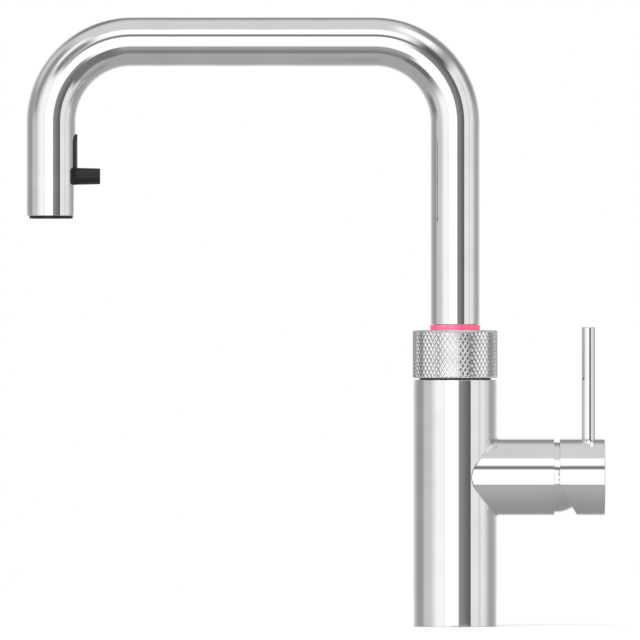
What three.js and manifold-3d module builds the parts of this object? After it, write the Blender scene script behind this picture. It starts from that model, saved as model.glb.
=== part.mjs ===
// Boiling water tap: deck column with a push-and-turn ring, swivelling spout with a
// pull-out nozzle, and a side mixer lever. Millimetres, +Z up. The origin is the centre of
// the column's foot on the worktop; the spout reaches towards -X and the lever is at +X.
import * as THREE from "three";
import { mergeVertices } from "three/addons/utils/BufferGeometryUtils.js";
import Module from "manifold-3d";

const wasm = await Module();
wasm.setup();

// ---------------------------------------------------------------- driving dimensions
const clearance = 0.3; // between pieces that touch or slide on each other
const overshoot = 1; // how far a cutting shape passes the face that it opens
const bodySides = 48; // facets round the large chrome pieces
const innerSides = 20; // facets round the pieces inside
const ringSides = 36; // facets round the inside of the control ring
const spoutSides = 32; // facets round the spout and the nozzle
const drillSides = 10; // facets round small bores, pipes and pins

// column and its fixing through the worktop
const columnRadius = 25;
const columnWall = 2;
const columnHeight = 148;
const plugHeight = 12;
const plugLip = 3.7;
const gasketWidth = 3.4;
const gasketHeight = 2.2;
const gasketInset = 1.2;
const shankRadius = 16;
const shankBore = 12.5;
const shankLength = 52;
const threadPitch = 3.5;
const threadDepth = 0.8;
const threadLength = 21;
const worktopThickness = 30;
const rubberWasherThickness = 3;
const clampWasherThickness = 2;
const mountingNutWidth = 46;
const mountingNutHeight = 10;
const mountingNutSides = 6;

// water pipes
const hoseRadius = 5.5;
const tailRadius = 3;
const tailLength = 51;
const tailSocketDepth = 6;
const boilingTubeRadius = 2.6;

// brass manifold in the column and the side mixer valve
const manifoldBottom = 62;
const manifoldTop = 104;
const valveHeight = 89.6;
const housingRadius = 23;
const housingBore = 21;
const housingEnd = 59.4;
const housingMouthDepth = 9.4;
const cartridgeStart = 30;
const cartridgeShoulder = 14;
const cartridgeLength = 22;
const cartridgeNeckRadius = 16;
const cartridgeFloor = 11;
const cartridgePorts = 3;
const cartridgePortRadius = 2.2;
const cartridgePortOffset = 5.2;
const discThickness = 4.4;
const rotorRadius = 9;
const rotorLength = 16;
const rotorSlotFloor = 5;
const pivotPinRadius = 1.5;
const domeRadius = 21.2;
const domeWall = 1.2;
const domeOpening = THREE.MathUtils.degToRad(40);
const domeSteps = 4;
const pivotFromHousing = 0.6;

// handle
const handleGap = 3.3;
const handleRadius = 23;
const handleLength = 27.1;
const handleEdge = 0.8;
const handleDomeClearance = 0.4;
const hollowSides = 28;
const handleReliefAngle = THREE.MathUtils.degToRad(30);
const stemRadius = 3.5;
const stemTail = 8;
const stemGrip = 5;
const leverRadius = 4;
const leverInset = 9.8;
const leverHeight = 89.9;
const leverEdge = 0.5;
const leverSocketDepth = 7;
const grubRadius = 2;
const grubLength = 10;
const grubInset = 5;

// swivel neck
const neckRadius = 17;
const neckBore = 13.3;
const neckLipHeight = 1;
const neckLipRise = 2.7;
const flangeHeight = 15.7;
const spigotRadius = 21.3;
const spigotHeight = 2.8;
const footRadius = 11;
const landBottomRise = 13.7;
const landHeight = 24;
const oringSection = 0.85;
const oringSides = 6;
const oringEdge = 4.5;
const circlipHeight = 1.2;
const circlipWidth = 2.6;
const circlipGrooveDepth = 1.1;
const footPlugHeight = 18.3;
const boilingOffset = 9.5;

// push-and-turn ring
const ringGap = 0.9;
const pressTravel = 0.6;
const pressMargin = 0.9; // left under the ring's top flange when it is pressed
const ringHeight = 28.8;
const ringRadius = 25.4;
const ringFlangeHeight = 4;
const ringWall = 5.6;
const ringFootDepth = 2.9;
const ringTopEdge = 1.2;
const ringFootEdge = 0.9;
const knurlCount = 54;
const knurlRows = 12;
const knurlDepth = 0.5;
const knurlMargin = 0.5;
const sleeveHeight = 15.8;
const clipHeight = 1;
const clipRise = 7.5;
const clipBite = 0.6;
const magnetWidth = 4;
const magnetHeight = 6;
const magnetDepth = 1.6;
const springWire = 0.6;
const springTurns = 2.5;
const springSteps = 16;
const springSides = 5;

// light ring
const lightRingShow = 3.2;
const lightRingRadius = 15.05;
const lightRingFlange = 1.2;
const ledBoardThickness = 1;

// spout
const spoutRadius = 14.7;
const spoutWall = 1.2;
const spoutAxisHeight = 350.8;
const bendRadius = 48.5;
const bendSteps = 8;
const reach = 242.4;
const legLength = 56; // the straight leg from the end of the bend to the outlet

// pull-out nozzle, measured up from the spout's open end
const slotHalfWidth = 6;
const slotTop = 49.3;
const slotLeadIn = 1.2;
const arcSteps = 8;
const nozzleSide = 0.4;
const nozzleDrop = 1.7;
const nozzleEdge = 0.5;
const nozzleTop = 37.7;
const nozzleWaterway = 2.9;
const sprayDepth = 7.4;
const sprayRecess = 0.6;
const sprayHoles = 6;
const sprayHoleRadius = 0.7;
const sprayHoleSides = 5;
const sprayHoleCircle = 3.2;
const ferruleGrip = 8;
const ferruleShow = 4.7;
const ferruleRim = 0.8;
const knobRise = 23.7;
const knobBaseRadius = 5.1;
const knobTipRadius = 4.75;
const knobReach = 29.4;
const knobEdge = 0.3;
const saddleHalfAngle = THREE.MathUtils.degToRad(38.5);
const saddleThickness = 0.6;
const tongueProud = 1.1;
const boilingTubeRecess = 3.4;

// ---------------------------------------------------------------- places worked out
const columnBore = columnRadius - columnWall;
const plugRadius = columnBore - clearance;
const tailCircle = shankBore - tailRadius - clearance;
const ringBottom = columnHeight + ringGap;
const ringTop = ringBottom + ringHeight;
const ringFlangeBottom = ringTop - ringFlangeHeight;
const ringBore = ringRadius - ringWall;
const lightRingTop = ringTop + lightRingShow;
const neckBottom = manifoldTop + clearance;
const neckLipBottom = neckBottom + neckLipRise;
const neckLipTop = neckLipBottom + neckLipHeight;
const flangeTop = columnHeight - clearance;
const spigotTop = flangeTop + spigotHeight;
const sleeveTop = ringFlangeBottom - clearance;
const sleeveBottom = sleeveTop - sleeveHeight;
const sleeveBore = neckRadius + clearance;
const sleeveRadius = ringBore - clearance;
const lightFlangeTop = ringFlangeBottom - pressTravel - pressMargin;
const lightFlangeBottom = lightFlangeTop - lightRingFlange;
const ledBoardTop = lightFlangeBottom - clearance;
const ledBoardBottom = ledBoardTop - ledBoardThickness;
const neckTop = ledBoardBottom - clearance;
const collarBore = neckBore + clearance;
const footBottom = neckBottom + clearance;
const landBottom = footBottom + landBottomRise;
const landTop = landBottom + landHeight;
const landRadius = neckBore - clearance;
const spoutStart = lightRingTop + clearance;
const spoutBore = spoutRadius - spoutWall;
const footPlugRadius = spoutBore - clearance;
const footPlugBottom = ringFlangeBottom;
const footPlugTop = spoutStart + footPlugHeight;
const hoseBore = hoseRadius + clearance;
const outletHeight = spoutAxisHeight - bendRadius - legLength;
const pivotReach = housingEnd + pivotFromHousing;
const handleStart = housingEnd + handleGap;
const handleEnd = handleStart + handleLength;
const handleHollow = domeRadius + handleDomeClearance;
const leverPlace = handleEnd - leverInset;
const grubPlace = handleEnd - grubInset;
const stemEnd = pivotReach + handleHollow + stemGrip;
const nozzleRadius = spoutBore - nozzleSide;
const tongueInner = nozzleRadius + clearance;
const tongueHalfWidth = slotHalfWidth - clearance;

// ---------------------------------------------------------------- finishes
function finish(color, roughness, metalness) {
  return new THREE.MeshStandardMaterial({ color, roughness, metalness });
}
const chrome = () => finish(0xe4e6e8, 0.05, 1);
const brass = () => finish(0xc9a45c, 0.3, 1);
const steel = () => finish(0xb8bbc0, 0.3, 1);
const copper = () => finish(0xc07a50, 0.35, 1);
const blackPlastic = () => finish(0x262626, 0.5, 0);
const whitePlastic = () => finish(0xe2e0da, 0.45, 0);
const rubber = () => finish(0x1c1c1e, 0.75, 0);

// ---------------------------------------------------------------- shape helpers
// Turns a profile of [radius, height] points round Z, counter-clockwise as seen with the
// axis on the left. A profile that doesn't start on the axis is closed on itself.
function turned(profile, sides) {
  const points = profile.map(([radius, height]) => new THREE.Vector2(radius, height));
  if (points[0].x > 0) {
    points.push(points[0].clone());
  }
  return new THREE.LatheGeometry(points, sides).rotateX(Math.PI / 2);
}

function disc(radius, bottom, top, sides) {
  return turned([[0, bottom], [radius, bottom], [radius, top], [0, top]], sides);
}

function tube(inner, outer, bottom, top, sides) {
  return turned([[inner, bottom], [outer, bottom], [outer, top], [inner, top]], sides);
}

// A block centred on x and y that stands from bottom to top.
function block(width, depth, bottom, top) {
  return new THREE.BoxGeometry(width, depth, top - bottom).translate(0, 0, (bottom + top) / 2);
}

// Points of an arc round (x, y), from one angle to another.
function arc(x, y, radius, from, to, steps) {
  return Array.from({ length: steps + 1 }, (_, step) => {
    const angle = from + ((to - from) * step) / steps;
    return new THREE.Vector2(x + radius * Math.cos(angle), y + radius * Math.sin(angle));
  });
}

function extruded(points, depth) {
  return new THREE.ExtrudeGeometry(new THREE.Shape(points), { depth, bevelEnabled: false });
}

function toSolid(geometry) {
  const bare = geometry.clone();
  bare.deleteAttribute("normal");
  bare.deleteAttribute("uv");
  const merged = mergeVertices(bare);
  return new wasm.Manifold(
    new wasm.Mesh({
      numProp: 3,
      vertProperties: new Float32Array(merged.attributes.position.array),
      triVerts: new Uint32Array(merged.index.array),
    }),
  );
}

function toGeometry(solid) {
  const mesh = solid.getMesh();
  const geometry = new THREE.BufferGeometry();
  geometry.setAttribute("position", new THREE.BufferAttribute(mesh.vertProperties, 3));
  geometry.setIndex(new THREE.BufferAttribute(mesh.triVerts, 1));
  geometry.computeVertexNormals();
  return geometry;
}

function joined(...geometries) {
  return toGeometry(geometries.map(toSolid).reduce((whole, solid) => whole.add(solid)));
}

function cut(geometry, ...tools) {
  return toGeometry(
    tools.map(toSolid).reduce((whole, tool) => whole.subtract(tool), toSolid(geometry)),
  );
}

function common(first, second) {
  return toGeometry(toSolid(first).intersect(toSolid(second)));
}

// A route given by its own stations, so straight runs take one step and bends take many.
class Route extends THREE.Curve {
  constructor(stations) {
    super();
    this.stations = stations;
  }
  at(t) {
    const place = t * (this.stations.length - 1);
    const index = Math.min(Math.floor(place), this.stations.length - 2);
    return [this.stations[index], this.stations[index + 1], place - index];
  }
  getPoint(t, target = new THREE.Vector3()) {
    const [before, after, share] = this.at(t);
    return target.lerpVectors(before.point, after.point, share);
  }
  getTangent(t, target = new THREE.Vector3()) {
    const [before, after, share] = this.at(t);
    return target.lerpVectors(before.tangent, after.tangent, share).normalize();
  }
  getUtoTmapping(u) {
    return u;
  }
}

// Stations of the spout's centre line: up, over towards -X and down to the given heights.
function spoutRoute(bottom, end) {
  const stations = [
    { point: new THREE.Vector3(0, 0, bottom), tangent: new THREE.Vector3(0, 0, 1) },
  ];
  const bend = (centreX, from) => {
    for (let step = 0; step <= bendSteps; step += 1) {
      const angle = from + (Math.PI / 2) * (step / bendSteps);
      const outward = new THREE.Vector3(Math.cos(angle), 0, Math.sin(angle));
      stations.push({
        point: outward
          .clone()
          .multiplyScalar(bendRadius)
          .add(new THREE.Vector3(centreX, 0, spoutAxisHeight - bendRadius)),
        tangent: new THREE.Vector3(-outward.z, 0, outward.x),
      });
    }
  };
  bend(-bendRadius, 0);
  bend(bendRadius - reach, Math.PI / 2);
  stations.push({ point: new THREE.Vector3(-reach, 0, end), tangent: new THREE.Vector3(0, 0, -1) });
  return new Route(stations);
}

// Sweeps a round section along a route. The section's centre is set off towards the outside
// of the bends, and it may have a bore.
function swept(route, radius, bore, offset, sides) {
  const circle = (size, facets) => arc(0, offset, size, 0, 2 * Math.PI, facets).slice(0, -1);
  const shape = new THREE.Shape(circle(radius, sides));
  if (bore > 0) {
    shape.holes.push(new THREE.Path(circle(bore, innerSides)));
  }
  return new THREE.ExtrudeGeometry(shape, {
    steps: route.stations.length - 1,
    extrudePath: route,
    bevelEnabled: false,
  });
}

function addPiece(parent, name, geometry, material) {
  const mesh = new THREE.Mesh(geometry, material);
  mesh.name = name;
  parent.add(mesh);
}

// ---------------------------------------------------------------- the assembly's frames
const tap = new THREE.Group();
// Local +Z of the valve runs out along the side housing (world +X), local -X is up.
const valve = new THREE.Group();
valve.position.set(0, 0, valveHeight);
valve.rotation.y = Math.PI / 2;
tap.add(valve);
// The outlet's origin is the centre of the spout's open end.
const outlet = new THREE.Group();
outlet.position.set(-reach, 0, outletHeight);
tap.add(outlet);

// Brings a shape from the valve's local frame into the tap's.
const alongHousing = (geometry) => geometry.rotateY(Math.PI / 2).translate(0, 0, valveHeight);

// ---------------------------------------------------------------- column and base
function tapBody() {
  const mouthStart = housingEnd - housingMouthDepth;
  const shell = joined(
    disc(columnRadius, 0, columnHeight, bodySides),
    alongHousing(disc(housingRadius, 0, housingEnd, bodySides)),
  );
  return cut(
    shell,
    disc(columnBore, -overshoot, columnHeight + overshoot, bodySides),
    alongHousing(disc(housingBore, 0, housingEnd, bodySides)),
    alongHousing(disc(domeRadius + clearance, mouthStart, housingEnd + overshoot, bodySides)),
  );
}
addPiece(tap, "tap_body", tapBody(), chrome());

const gasketOuter = plugRadius - gasketInset;
const gasketInner = gasketOuter - gasketWidth;
const basePlug = turned(
  [
    [shankRadius + clearance, 0],
    [gasketInner - clearance, 0],
    [gasketInner - clearance, gasketHeight + clearance],
    [gasketOuter + clearance, gasketHeight + clearance],
    [gasketOuter + clearance, 0],
    [plugRadius, 0],
    [plugRadius, plugHeight],
    [shankBore, plugHeight],
    [shankBore, plugHeight - plugLip],
    [shankRadius + clearance, plugHeight - plugLip],
  ],
  innerSides,
);
addPiece(tap, "base_plug", basePlug, brass());
addPiece(tap, "base_gasket", tube(gasketInner, gasketOuter, 0, gasketHeight, innerSides), rubber());

function mountingShank() {
  const top = plugHeight - plugLip - clearance;
  const root = shankRadius - threadDepth;
  const profile = [[shankBore, -shankLength], [root, -shankLength]];
  const turns = Math.round(threadLength / threadPitch);
  for (let turn = 0; turn < turns; turn += 1) {
    const start = -shankLength + threadPitch * turn;
    profile.push([shankRadius, start + threadPitch / 2], [root, start + threadPitch]);
  }
  profile.push([shankRadius, threadPitch * turns - shankLength + threadDepth]);
  profile.push([shankRadius, top], [shankBore, top]);
  return turned(profile, innerSides);
}
addPiece(tap, "mounting_shank", mountingShank(), steel());

const clampBore = shankRadius + clearance;
const rubberWasherBottom = -worktopThickness - rubberWasherThickness;
const clampWasherTop = rubberWasherBottom - clearance;
const clampWasherBottom = clampWasherTop - clampWasherThickness;
const nutTop = clampWasherBottom - clearance;
addPiece(
  tap,
  "rubber_washer",
  tube(clampBore, columnRadius, rubberWasherBottom, -worktopThickness, innerSides),
  rubber(),
);
addPiece(
  tap,
  "clamp_washer",
  tube(clampBore, columnRadius, clampWasherBottom, clampWasherTop, innerSides),
  steel(),
);
const nutBottom = nutTop - mountingNutHeight;
const nutCornerRadius = mountingNutWidth / 2 / Math.cos(Math.PI / mountingNutSides);
addPiece(
  tap,
  "mounting_nut",
  cut(
    disc(nutCornerRadius, nutBottom, nutTop, mountingNutSides),
    disc(clampBore, nutBottom - overshoot, nutTop + overshoot, innerSides),
  ),
  brass(),
);

// ---------------------------------------------------------------- water pipes and manifold
// Rigid tails stand round the hose in the shank's bore, one for each direction.
const tails = [
  { name: "hot_tail", angle: Math.PI / 2 },
  { name: "cold_tail", angle: -Math.PI / 2 },
  { name: "boiling_tail", angle: Math.PI },
  { name: "mixed_tail", angle: 0 },
];
const atTail = (geometry, angle) =>
  geometry.translate(tailCircle * Math.cos(angle), tailCircle * Math.sin(angle), 0);

function valveManifold() {
  const bossRadius = manifoldTop - valveHeight - clearance;
  const sockets = tails.map(({ angle }) => {
    const socket = disc(
      tailRadius + clearance,
      manifoldBottom - overshoot,
      manifoldBottom + tailSocketDepth,
      drillSides,
    );
    return atTail(socket, angle);
  });
  return cut(
    joined(
      disc(plugRadius, manifoldBottom, manifoldTop, innerSides),
      alongHousing(disc(bossRadius, 0, cartridgeStart - clearance, innerSides)),
    ),
    disc(hoseBore, manifoldBottom - overshoot, manifoldTop + overshoot, innerSides),
    ...sockets,
  );
}
addPiece(tap, "valve_manifold", valveManifold(), brass());

for (const { name, angle } of tails) {
  const top = manifoldBottom + tailSocketDepth - clearance;
  const tail = atTail(disc(tailRadius, -tailLength, top, drillSides), angle);
  addPiece(tap, name, tail, copper());
}
addPiece(
  tap,
  "column_hose",
  disc(hoseRadius, -tailLength, manifoldTop, innerSides),
  steel(),
);

// ---------------------------------------------------------------- swivel neck
const neckSleeve = turned(
  [
    [neckBore, neckBottom],
    [neckRadius, neckBottom],
    [neckRadius, flangeTop - flangeHeight],
    [plugRadius, flangeTop - flangeHeight],
    [plugRadius, flangeTop],
    [spigotRadius, flangeTop],
    [spigotRadius, spigotTop],
    [neckRadius, spigotTop],
    [neckRadius, neckTop],
    [neckBore, neckTop],
    [neckBore, neckLipTop],
    [footRadius + clearance, neckLipTop],
    [footRadius + clearance, neckLipBottom],
    [neckBore, neckLipBottom],
  ],
  innerSides,
);
addPiece(tap, "neck_sleeve", neckSleeve, blackPlastic());

const bushBore = footRadius + clearance;
addPiece(
  tap,
  "lower_bush",
  tube(bushBore, landRadius, neckLipTop + clearance, landBottom - clearance, innerSides),
  whitePlastic(),
);
addPiece(
  tap,
  "upper_bush",
  tube(bushBore, landRadius, landTop + clearance, footPlugBottom - clearance, innerSides),
  whitePlastic(),
);
addPiece(
  tap,
  "led_board",
  tube(collarBore, neckRadius, ledBoardBottom, ledBoardTop, innerSides),
  finish(0x1f5a3a, 0.5, 0),
);

const lightRing = turned(
  [
    [collarBore, lightFlangeBottom],
    [neckRadius, lightFlangeBottom],
    [neckRadius, lightFlangeTop],
    [lightRingRadius, lightFlangeTop],
    [lightRingRadius, lightRingTop],
    [collarBore, lightRingTop],
  ],
  ringSides,
);
const lightMaterial = finish(0xff6f93, 0.35, 0);
lightMaterial.emissive.set(0xff5f88);
addPiece(tap, "light_ring", lightRing, lightMaterial);

// ---------------------------------------------------------------- push-and-turn ring
// The return spring stands on the spigot, in the space between the neck and the ring.
class SpringHelix extends THREE.Curve {
  getPoint(t, target = new THREE.Vector3()) {
    const radius = (sleeveBore + sleeveRadius) / 2;
    const bottom = spigotTop + clearance + springWire;
    const top = sleeveBottom - clearance - springWire;
    const angle = t * springTurns * 2 * Math.PI;
    return target.set(
      radius * Math.cos(angle),
      radius * Math.sin(angle),
      THREE.MathUtils.lerp(bottom, top, t),
    );
  }
}
const springSection = arc(0, 0, springWire, 0, 2 * Math.PI, springSides).slice(0, -1);
const pressSpring = new THREE.ExtrudeGeometry(new THREE.Shape(springSection), {
  steps: Math.round(springTurns * springSteps),
  extrudePath: new SpringHelix(),
  bevelEnabled: false,
});
addPiece(tap, "press_spring", pressSpring, steel());

const clipBottom = sleeveBottom + clipRise;
const clipTop = clipBottom + clipHeight;
const pressSleeve = turned(
  [
    [sleeveBore, sleeveBottom],
    [sleeveRadius, sleeveBottom],
    [sleeveRadius, clipBottom - clearance],
    [sleeveRadius - clipBite, clipBottom - clearance],
    [sleeveRadius - clipBite, clipTop + clearance],
    [sleeveRadius, clipTop + clearance],
    [sleeveRadius, sleeveTop],
    [sleeveBore, sleeveTop],
  ],
  innerSides,
);
addPiece(tap, "press_sleeve", pressSleeve, whitePlastic());
addPiece(
  tap,
  "ring_clip",
  tube(sleeveRadius - clipBite + clearance, ringBore + clipBite, clipBottom, clipTop, ringSides),
  steel(),
);

// The knurled skin is a grid of pyramid tips and the crossings between them. Each cell is
// split along the groove that joins its two crossings.
function knurledSlug() {
  const columns = knurlCount * 2;
  const rowPitch = (ringHeight - 2 * knurlMargin) / knurlRows;
  const rows = [{ height: ringBottom, radius: () => ringRadius - ringFootEdge }];
  const edgeRadius = (height) => {
    const edge = height > (ringBottom + ringTop) / 2 ? ringTopEdge : ringFootEdge;
    const inset = Math.max(0, edge - Math.min(height - ringBottom, ringTop - height));
    return ringRadius - edge + Math.sqrt(edge * edge - inset * inset);
  };
  for (let row = 0; row <= knurlRows; row += 1) {
    const height = ringBottom + knurlMargin + rowPitch * row;
    const tip = edgeRadius(height);
    const crossing = Math.min(tip, ringRadius - knurlDepth);
    rows.push({ height, radius: (column) => ((column + row) % 2 === 0 ? tip : crossing) });
  }
  rows.push({ height: ringTop, radius: () => ringRadius - ringTopEdge });

  const positions = [];
  for (const { height, radius } of rows) {
    for (let column = 0; column < columns; column += 1) {
      const angle = (Math.PI * 2 * column) / columns;
      const out = radius(column);
      positions.push(out * Math.cos(angle), out * Math.sin(angle), height);
    }
  }
  const index = [];
  for (let row = 0; row < rows.length - 1; row += 1) {
    for (let column = 0; column < columns; column += 1) {
      const next = (column + 1) % columns;
      const a = row * columns + column;
      const b = row * columns + next;
      const c = (row + 1) * columns + next;
      const d = (row + 1) * columns + column;
      // The first row of the grid is the plain edge below the knurl, hence the row - 1.
      const tipAtA = (column + row - 1) % 2 === 0;
      index.push(...(tipAtA ? [a, b, d, b, c, d] : [a, b, c, a, c, d]));
    }
  }
  const top = (rows.length - 1) * columns;
  const centreBottom = rows.length * columns;
  positions.push(0, 0, ringBottom, 0, 0, ringTop);
  for (let column = 0; column < columns; column += 1) {
    const next = (column + 1) % columns;
    index.push(centreBottom, next, column);
    index.push(centreBottom + 1, top + column, top + next);
  }
  const geometry = new THREE.BufferGeometry();
  geometry.setAttribute("position", new THREE.Float32BufferAttribute(positions, 3));
  geometry.setIndex(index);
  return geometry;
}

const magnetInner = ringBore + clearance;
const magnetBottom = ringBottom + ringFootDepth + clearance;
const magnetTop = magnetBottom + magnetHeight;
function knurledRing() {
  const clipGroove = ringBore + clipBite + clearance;
  const ringHollow = turned(
    [
      [0, ringBottom - overshoot],
      [spigotRadius + clearance, ringBottom - overshoot],
      [spigotRadius + clearance, ringBottom + ringFootDepth],
      [ringBore, ringBottom + ringFootDepth],
      [ringBore, clipBottom - clearance],
      [clipGroove, clipBottom - clearance],
      [clipGroove, clipTop + clearance],
      [ringBore, clipTop + clearance],
      [ringBore, ringFlangeBottom],
      [lightRingRadius + clearance, ringFlangeBottom],
      [lightRingRadius + clearance, ringTop + overshoot],
      [0, ringTop + overshoot],
    ],
    ringSides,
  );
  // The magnet's pocket opens into the ring's bore and into the wider foot below it.
  const pocketDepth = magnetDepth + 2 * clearance;
  const pocket = block(
    pocketDepth + overshoot,
    magnetWidth + 2 * clearance,
    ringBottom + ringFootDepth - overshoot,
    magnetTop + clearance,
  ).translate(-(ringBore + (pocketDepth - overshoot) / 2), 0, 0);
  return cut(knurledSlug(), ringHollow, pocket);
}
addPiece(tap, "knurled_ring", knurledRing(), chrome());

const magnet = block(magnetDepth, magnetWidth, magnetBottom, magnetTop);
addPiece(tap, "ring_magnet", magnet.translate(-(magnetInner + magnetDepth / 2), 0, 0), steel());

// ---------------------------------------------------------------- side mixer valve
const cartridgeRadius = housingBore - clearance;
const nutStart = cartridgeStart + cartridgeShoulder + clearance;
const skirtStart = housingEnd - housingMouthDepth + clearance;
const rotorStart = cartridgeStart + cartridgeFloor + discThickness + 2 * clearance;

function cartridgeBody() {
  const body = turned(
    [
      [0, cartridgeStart],
      [cartridgeRadius, cartridgeStart],
      [cartridgeRadius, cartridgeStart + cartridgeShoulder],
      [cartridgeNeckRadius, cartridgeStart + cartridgeShoulder],
      [cartridgeNeckRadius, cartridgeStart + cartridgeLength],
      [rotorRadius + clearance, cartridgeStart + cartridgeLength],
      [rotorRadius + clearance, cartridgeStart + cartridgeFloor],
      [0, cartridgeStart + cartridgeFloor],
    ],
    innerSides,
  );
  const ports = Array.from({ length: cartridgePorts }, (_, port) => {
    const angle = (port * 2 * Math.PI) / cartridgePorts;
    return disc(
      cartridgePortRadius,
      cartridgeStart - overshoot,
      cartridgeStart + cartridgeFloor + overshoot,
      drillSides,
    ).translate(cartridgePortOffset * Math.cos(angle), cartridgePortOffset * Math.sin(angle), 0);
  });
  return cut(body, ...ports);
}
addPiece(valve, "cartridge_body", cartridgeBody(), whitePlastic());

const discStart = cartridgeStart + cartridgeFloor + clearance;
addPiece(
  valve,
  "ceramic_disc",
  disc(rotorRadius, discStart, discStart + discThickness, innerSides),
  finish(0xf4f2ec, 0.25, 0),
);
addPiece(
  valve,
  "cartridge_nut",
  tube(
    cartridgeNeckRadius + clearance,
    cartridgeRadius,
    nutStart,
    housingEnd - housingMouthDepth,
    innerSides,
  ),
  brass(),
);

// A thin skirt seated in the housing's mouth carries a part sphere round the handle's pivot.
function domeCover() {
  const innerRadius = domeRadius - domeWall;
  const outside = arc(0, pivotReach, domeRadius, 0, Math.PI / 2 - domeOpening, domeSteps);
  const inside = arc(0, pivotReach, innerRadius, Math.PI / 2 - domeOpening, 0, domeSteps);
  const profile = [
    [innerRadius, skirtStart],
    [domeRadius, skirtStart],
    ...outside.map((point) => [point.x, point.y]),
    ...inside.map((point) => [point.x, point.y]),
  ];
  return turned(profile, spoutSides);
}
addPiece(valve, "dome_cover", domeCover(), chrome());

// A bore for the pivot pin, through a piece of the given radius.
function pivotBore(radius) {
  const halfLength = radius + overshoot;
  return disc(pivotPinRadius + clearance, -halfLength, halfLength, drillSides)
    .rotateX(Math.PI / 2)
    .translate(0, 0, pivotReach);
}

function cartridgeRotor() {
  const rotorEnd = rotorStart + rotorLength;
  const slotLength = 2 * (rotorRadius + overshoot);
  const slotWidth = 2 * (stemRadius + clearance);
  return cut(
    disc(rotorRadius, rotorStart, rotorEnd, innerSides),
    block(slotLength, slotWidth, rotorStart + rotorSlotFloor, rotorEnd + overshoot),
    pivotBore(rotorRadius),
  );
}
addPiece(valve, "cartridge_rotor", cartridgeRotor(), whitePlastic());
addPiece(
  valve,
  "pivot_pin",
  disc(pivotPinRadius, clearance - rotorRadius, rotorRadius - clearance, drillSides)
    .rotateX(Math.PI / 2)
    .translate(0, 0, pivotReach),
  steel(),
);

// ---------------------------------------------------------------- handle
const stem = cut(
  disc(stemRadius, pivotReach - stemTail, stemEnd, innerSides),
  pivotBore(stemRadius),
);
addPiece(valve, "handle_stem", stem, brass());

function handleCap() {
  const sleeve = turned(
    [
      [0, handleStart],
      [handleRadius, handleStart],
      [handleRadius, handleEnd - handleEdge],
      [handleRadius - handleEdge, handleEnd],
      [0, handleEnd],
    ],
    bodySides,
  );
  const hollow = new THREE.SphereGeometry(handleHollow, hollowSides, hollowSides / 2)
    .rotateX(Math.PI / 2)
    .translate(0, 0, pivotReach);
  // The cap's lower half is cut back along a slanting plane through the pivot, so that it
  // clears the housing when the lever is tilted out.
  const reliefSize = 4 * handleRadius;
  const relief = new THREE.BoxGeometry(reliefSize, reliefSize, reliefSize)
    .translate(reliefSize / 2, 0, -reliefSize / 2)
    .rotateY(-handleReliefAngle)
    .translate(0, 0, pivotReach);
  const leverSocket = disc(
    leverRadius + clearance,
    handleRadius - leverSocketDepth - clearance,
    handleRadius + overshoot,
    innerSides,
  )
    .rotateY(-Math.PI / 2)
    .translate(0, 0, leverPlace);
  const grubBore = disc(grubRadius + clearance, 0, handleRadius + overshoot, drillSides)
    .rotateY(Math.PI / 2)
    .translate(0, 0, grubPlace);
  return cut(
    sleeve,
    hollow,
    relief,
    disc(stemRadius + clearance, pivotReach, stemEnd + clearance, innerSides),
    leverSocket,
    grubBore,
  );
}
addPiece(valve, "handle_cap", handleCap(), chrome());

const leverRod = turned(
  [
    [0, handleRadius - leverSocketDepth],
    [leverRadius, handleRadius - leverSocketDepth],
    [leverRadius, leverHeight - leverEdge],
    [leverRadius - leverEdge, leverHeight],
    [0, leverHeight],
  ],
  innerSides,
)
  .rotateY(-Math.PI / 2)
  .translate(0, 0, leverPlace);
addPiece(valve, "lever_rod", leverRod, chrome());
addPiece(
  valve,
  "grub_screw",
  disc(grubRadius, stemRadius + clearance, stemRadius + clearance + grubLength, drillSides)
    .rotateY(Math.PI / 2)
    .translate(0, 0, grubPlace),
  steel(),
);

// ---------------------------------------------------------------- spout
// Outline of the slot in the leg, or of the tongue that fills it: straight sides up to a
// round top. Points are (sideways, up) from the leg's open end.
function slotOutline(halfWidth, bottom, top, leadIn) {
  return [
    new THREE.Vector2(-halfWidth - leadIn, bottom),
    new THREE.Vector2(halfWidth + leadIn, bottom),
    new THREE.Vector2(halfWidth, bottom + 2 * leadIn),
    ...arc(0, top - halfWidth, halfWidth, 0, Math.PI, arcSteps),
    new THREE.Vector2(-halfWidth, bottom + 2 * leadIn),
  ];
}

// Turns an outline drawn in (sideways, up) into a bar that lies along +X.
const standingAcross = (geometry) => geometry.rotateX(Math.PI / 2).rotateZ(Math.PI / 2);

function spoutTube() {
  const pipe = swept(spoutRoute(spoutStart, outletHeight), spoutRadius, spoutBore, 0, spoutSides);
  const slot = standingAcross(
    extruded(slotOutline(slotHalfWidth, -slotLeadIn, slotTop, slotLeadIn), 2 * spoutRadius),
  ).translate(-reach, 0, outletHeight);
  return cut(pipe, slot);
}
addPiece(tap, "spout_tube", spoutTube(), chrome());

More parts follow.
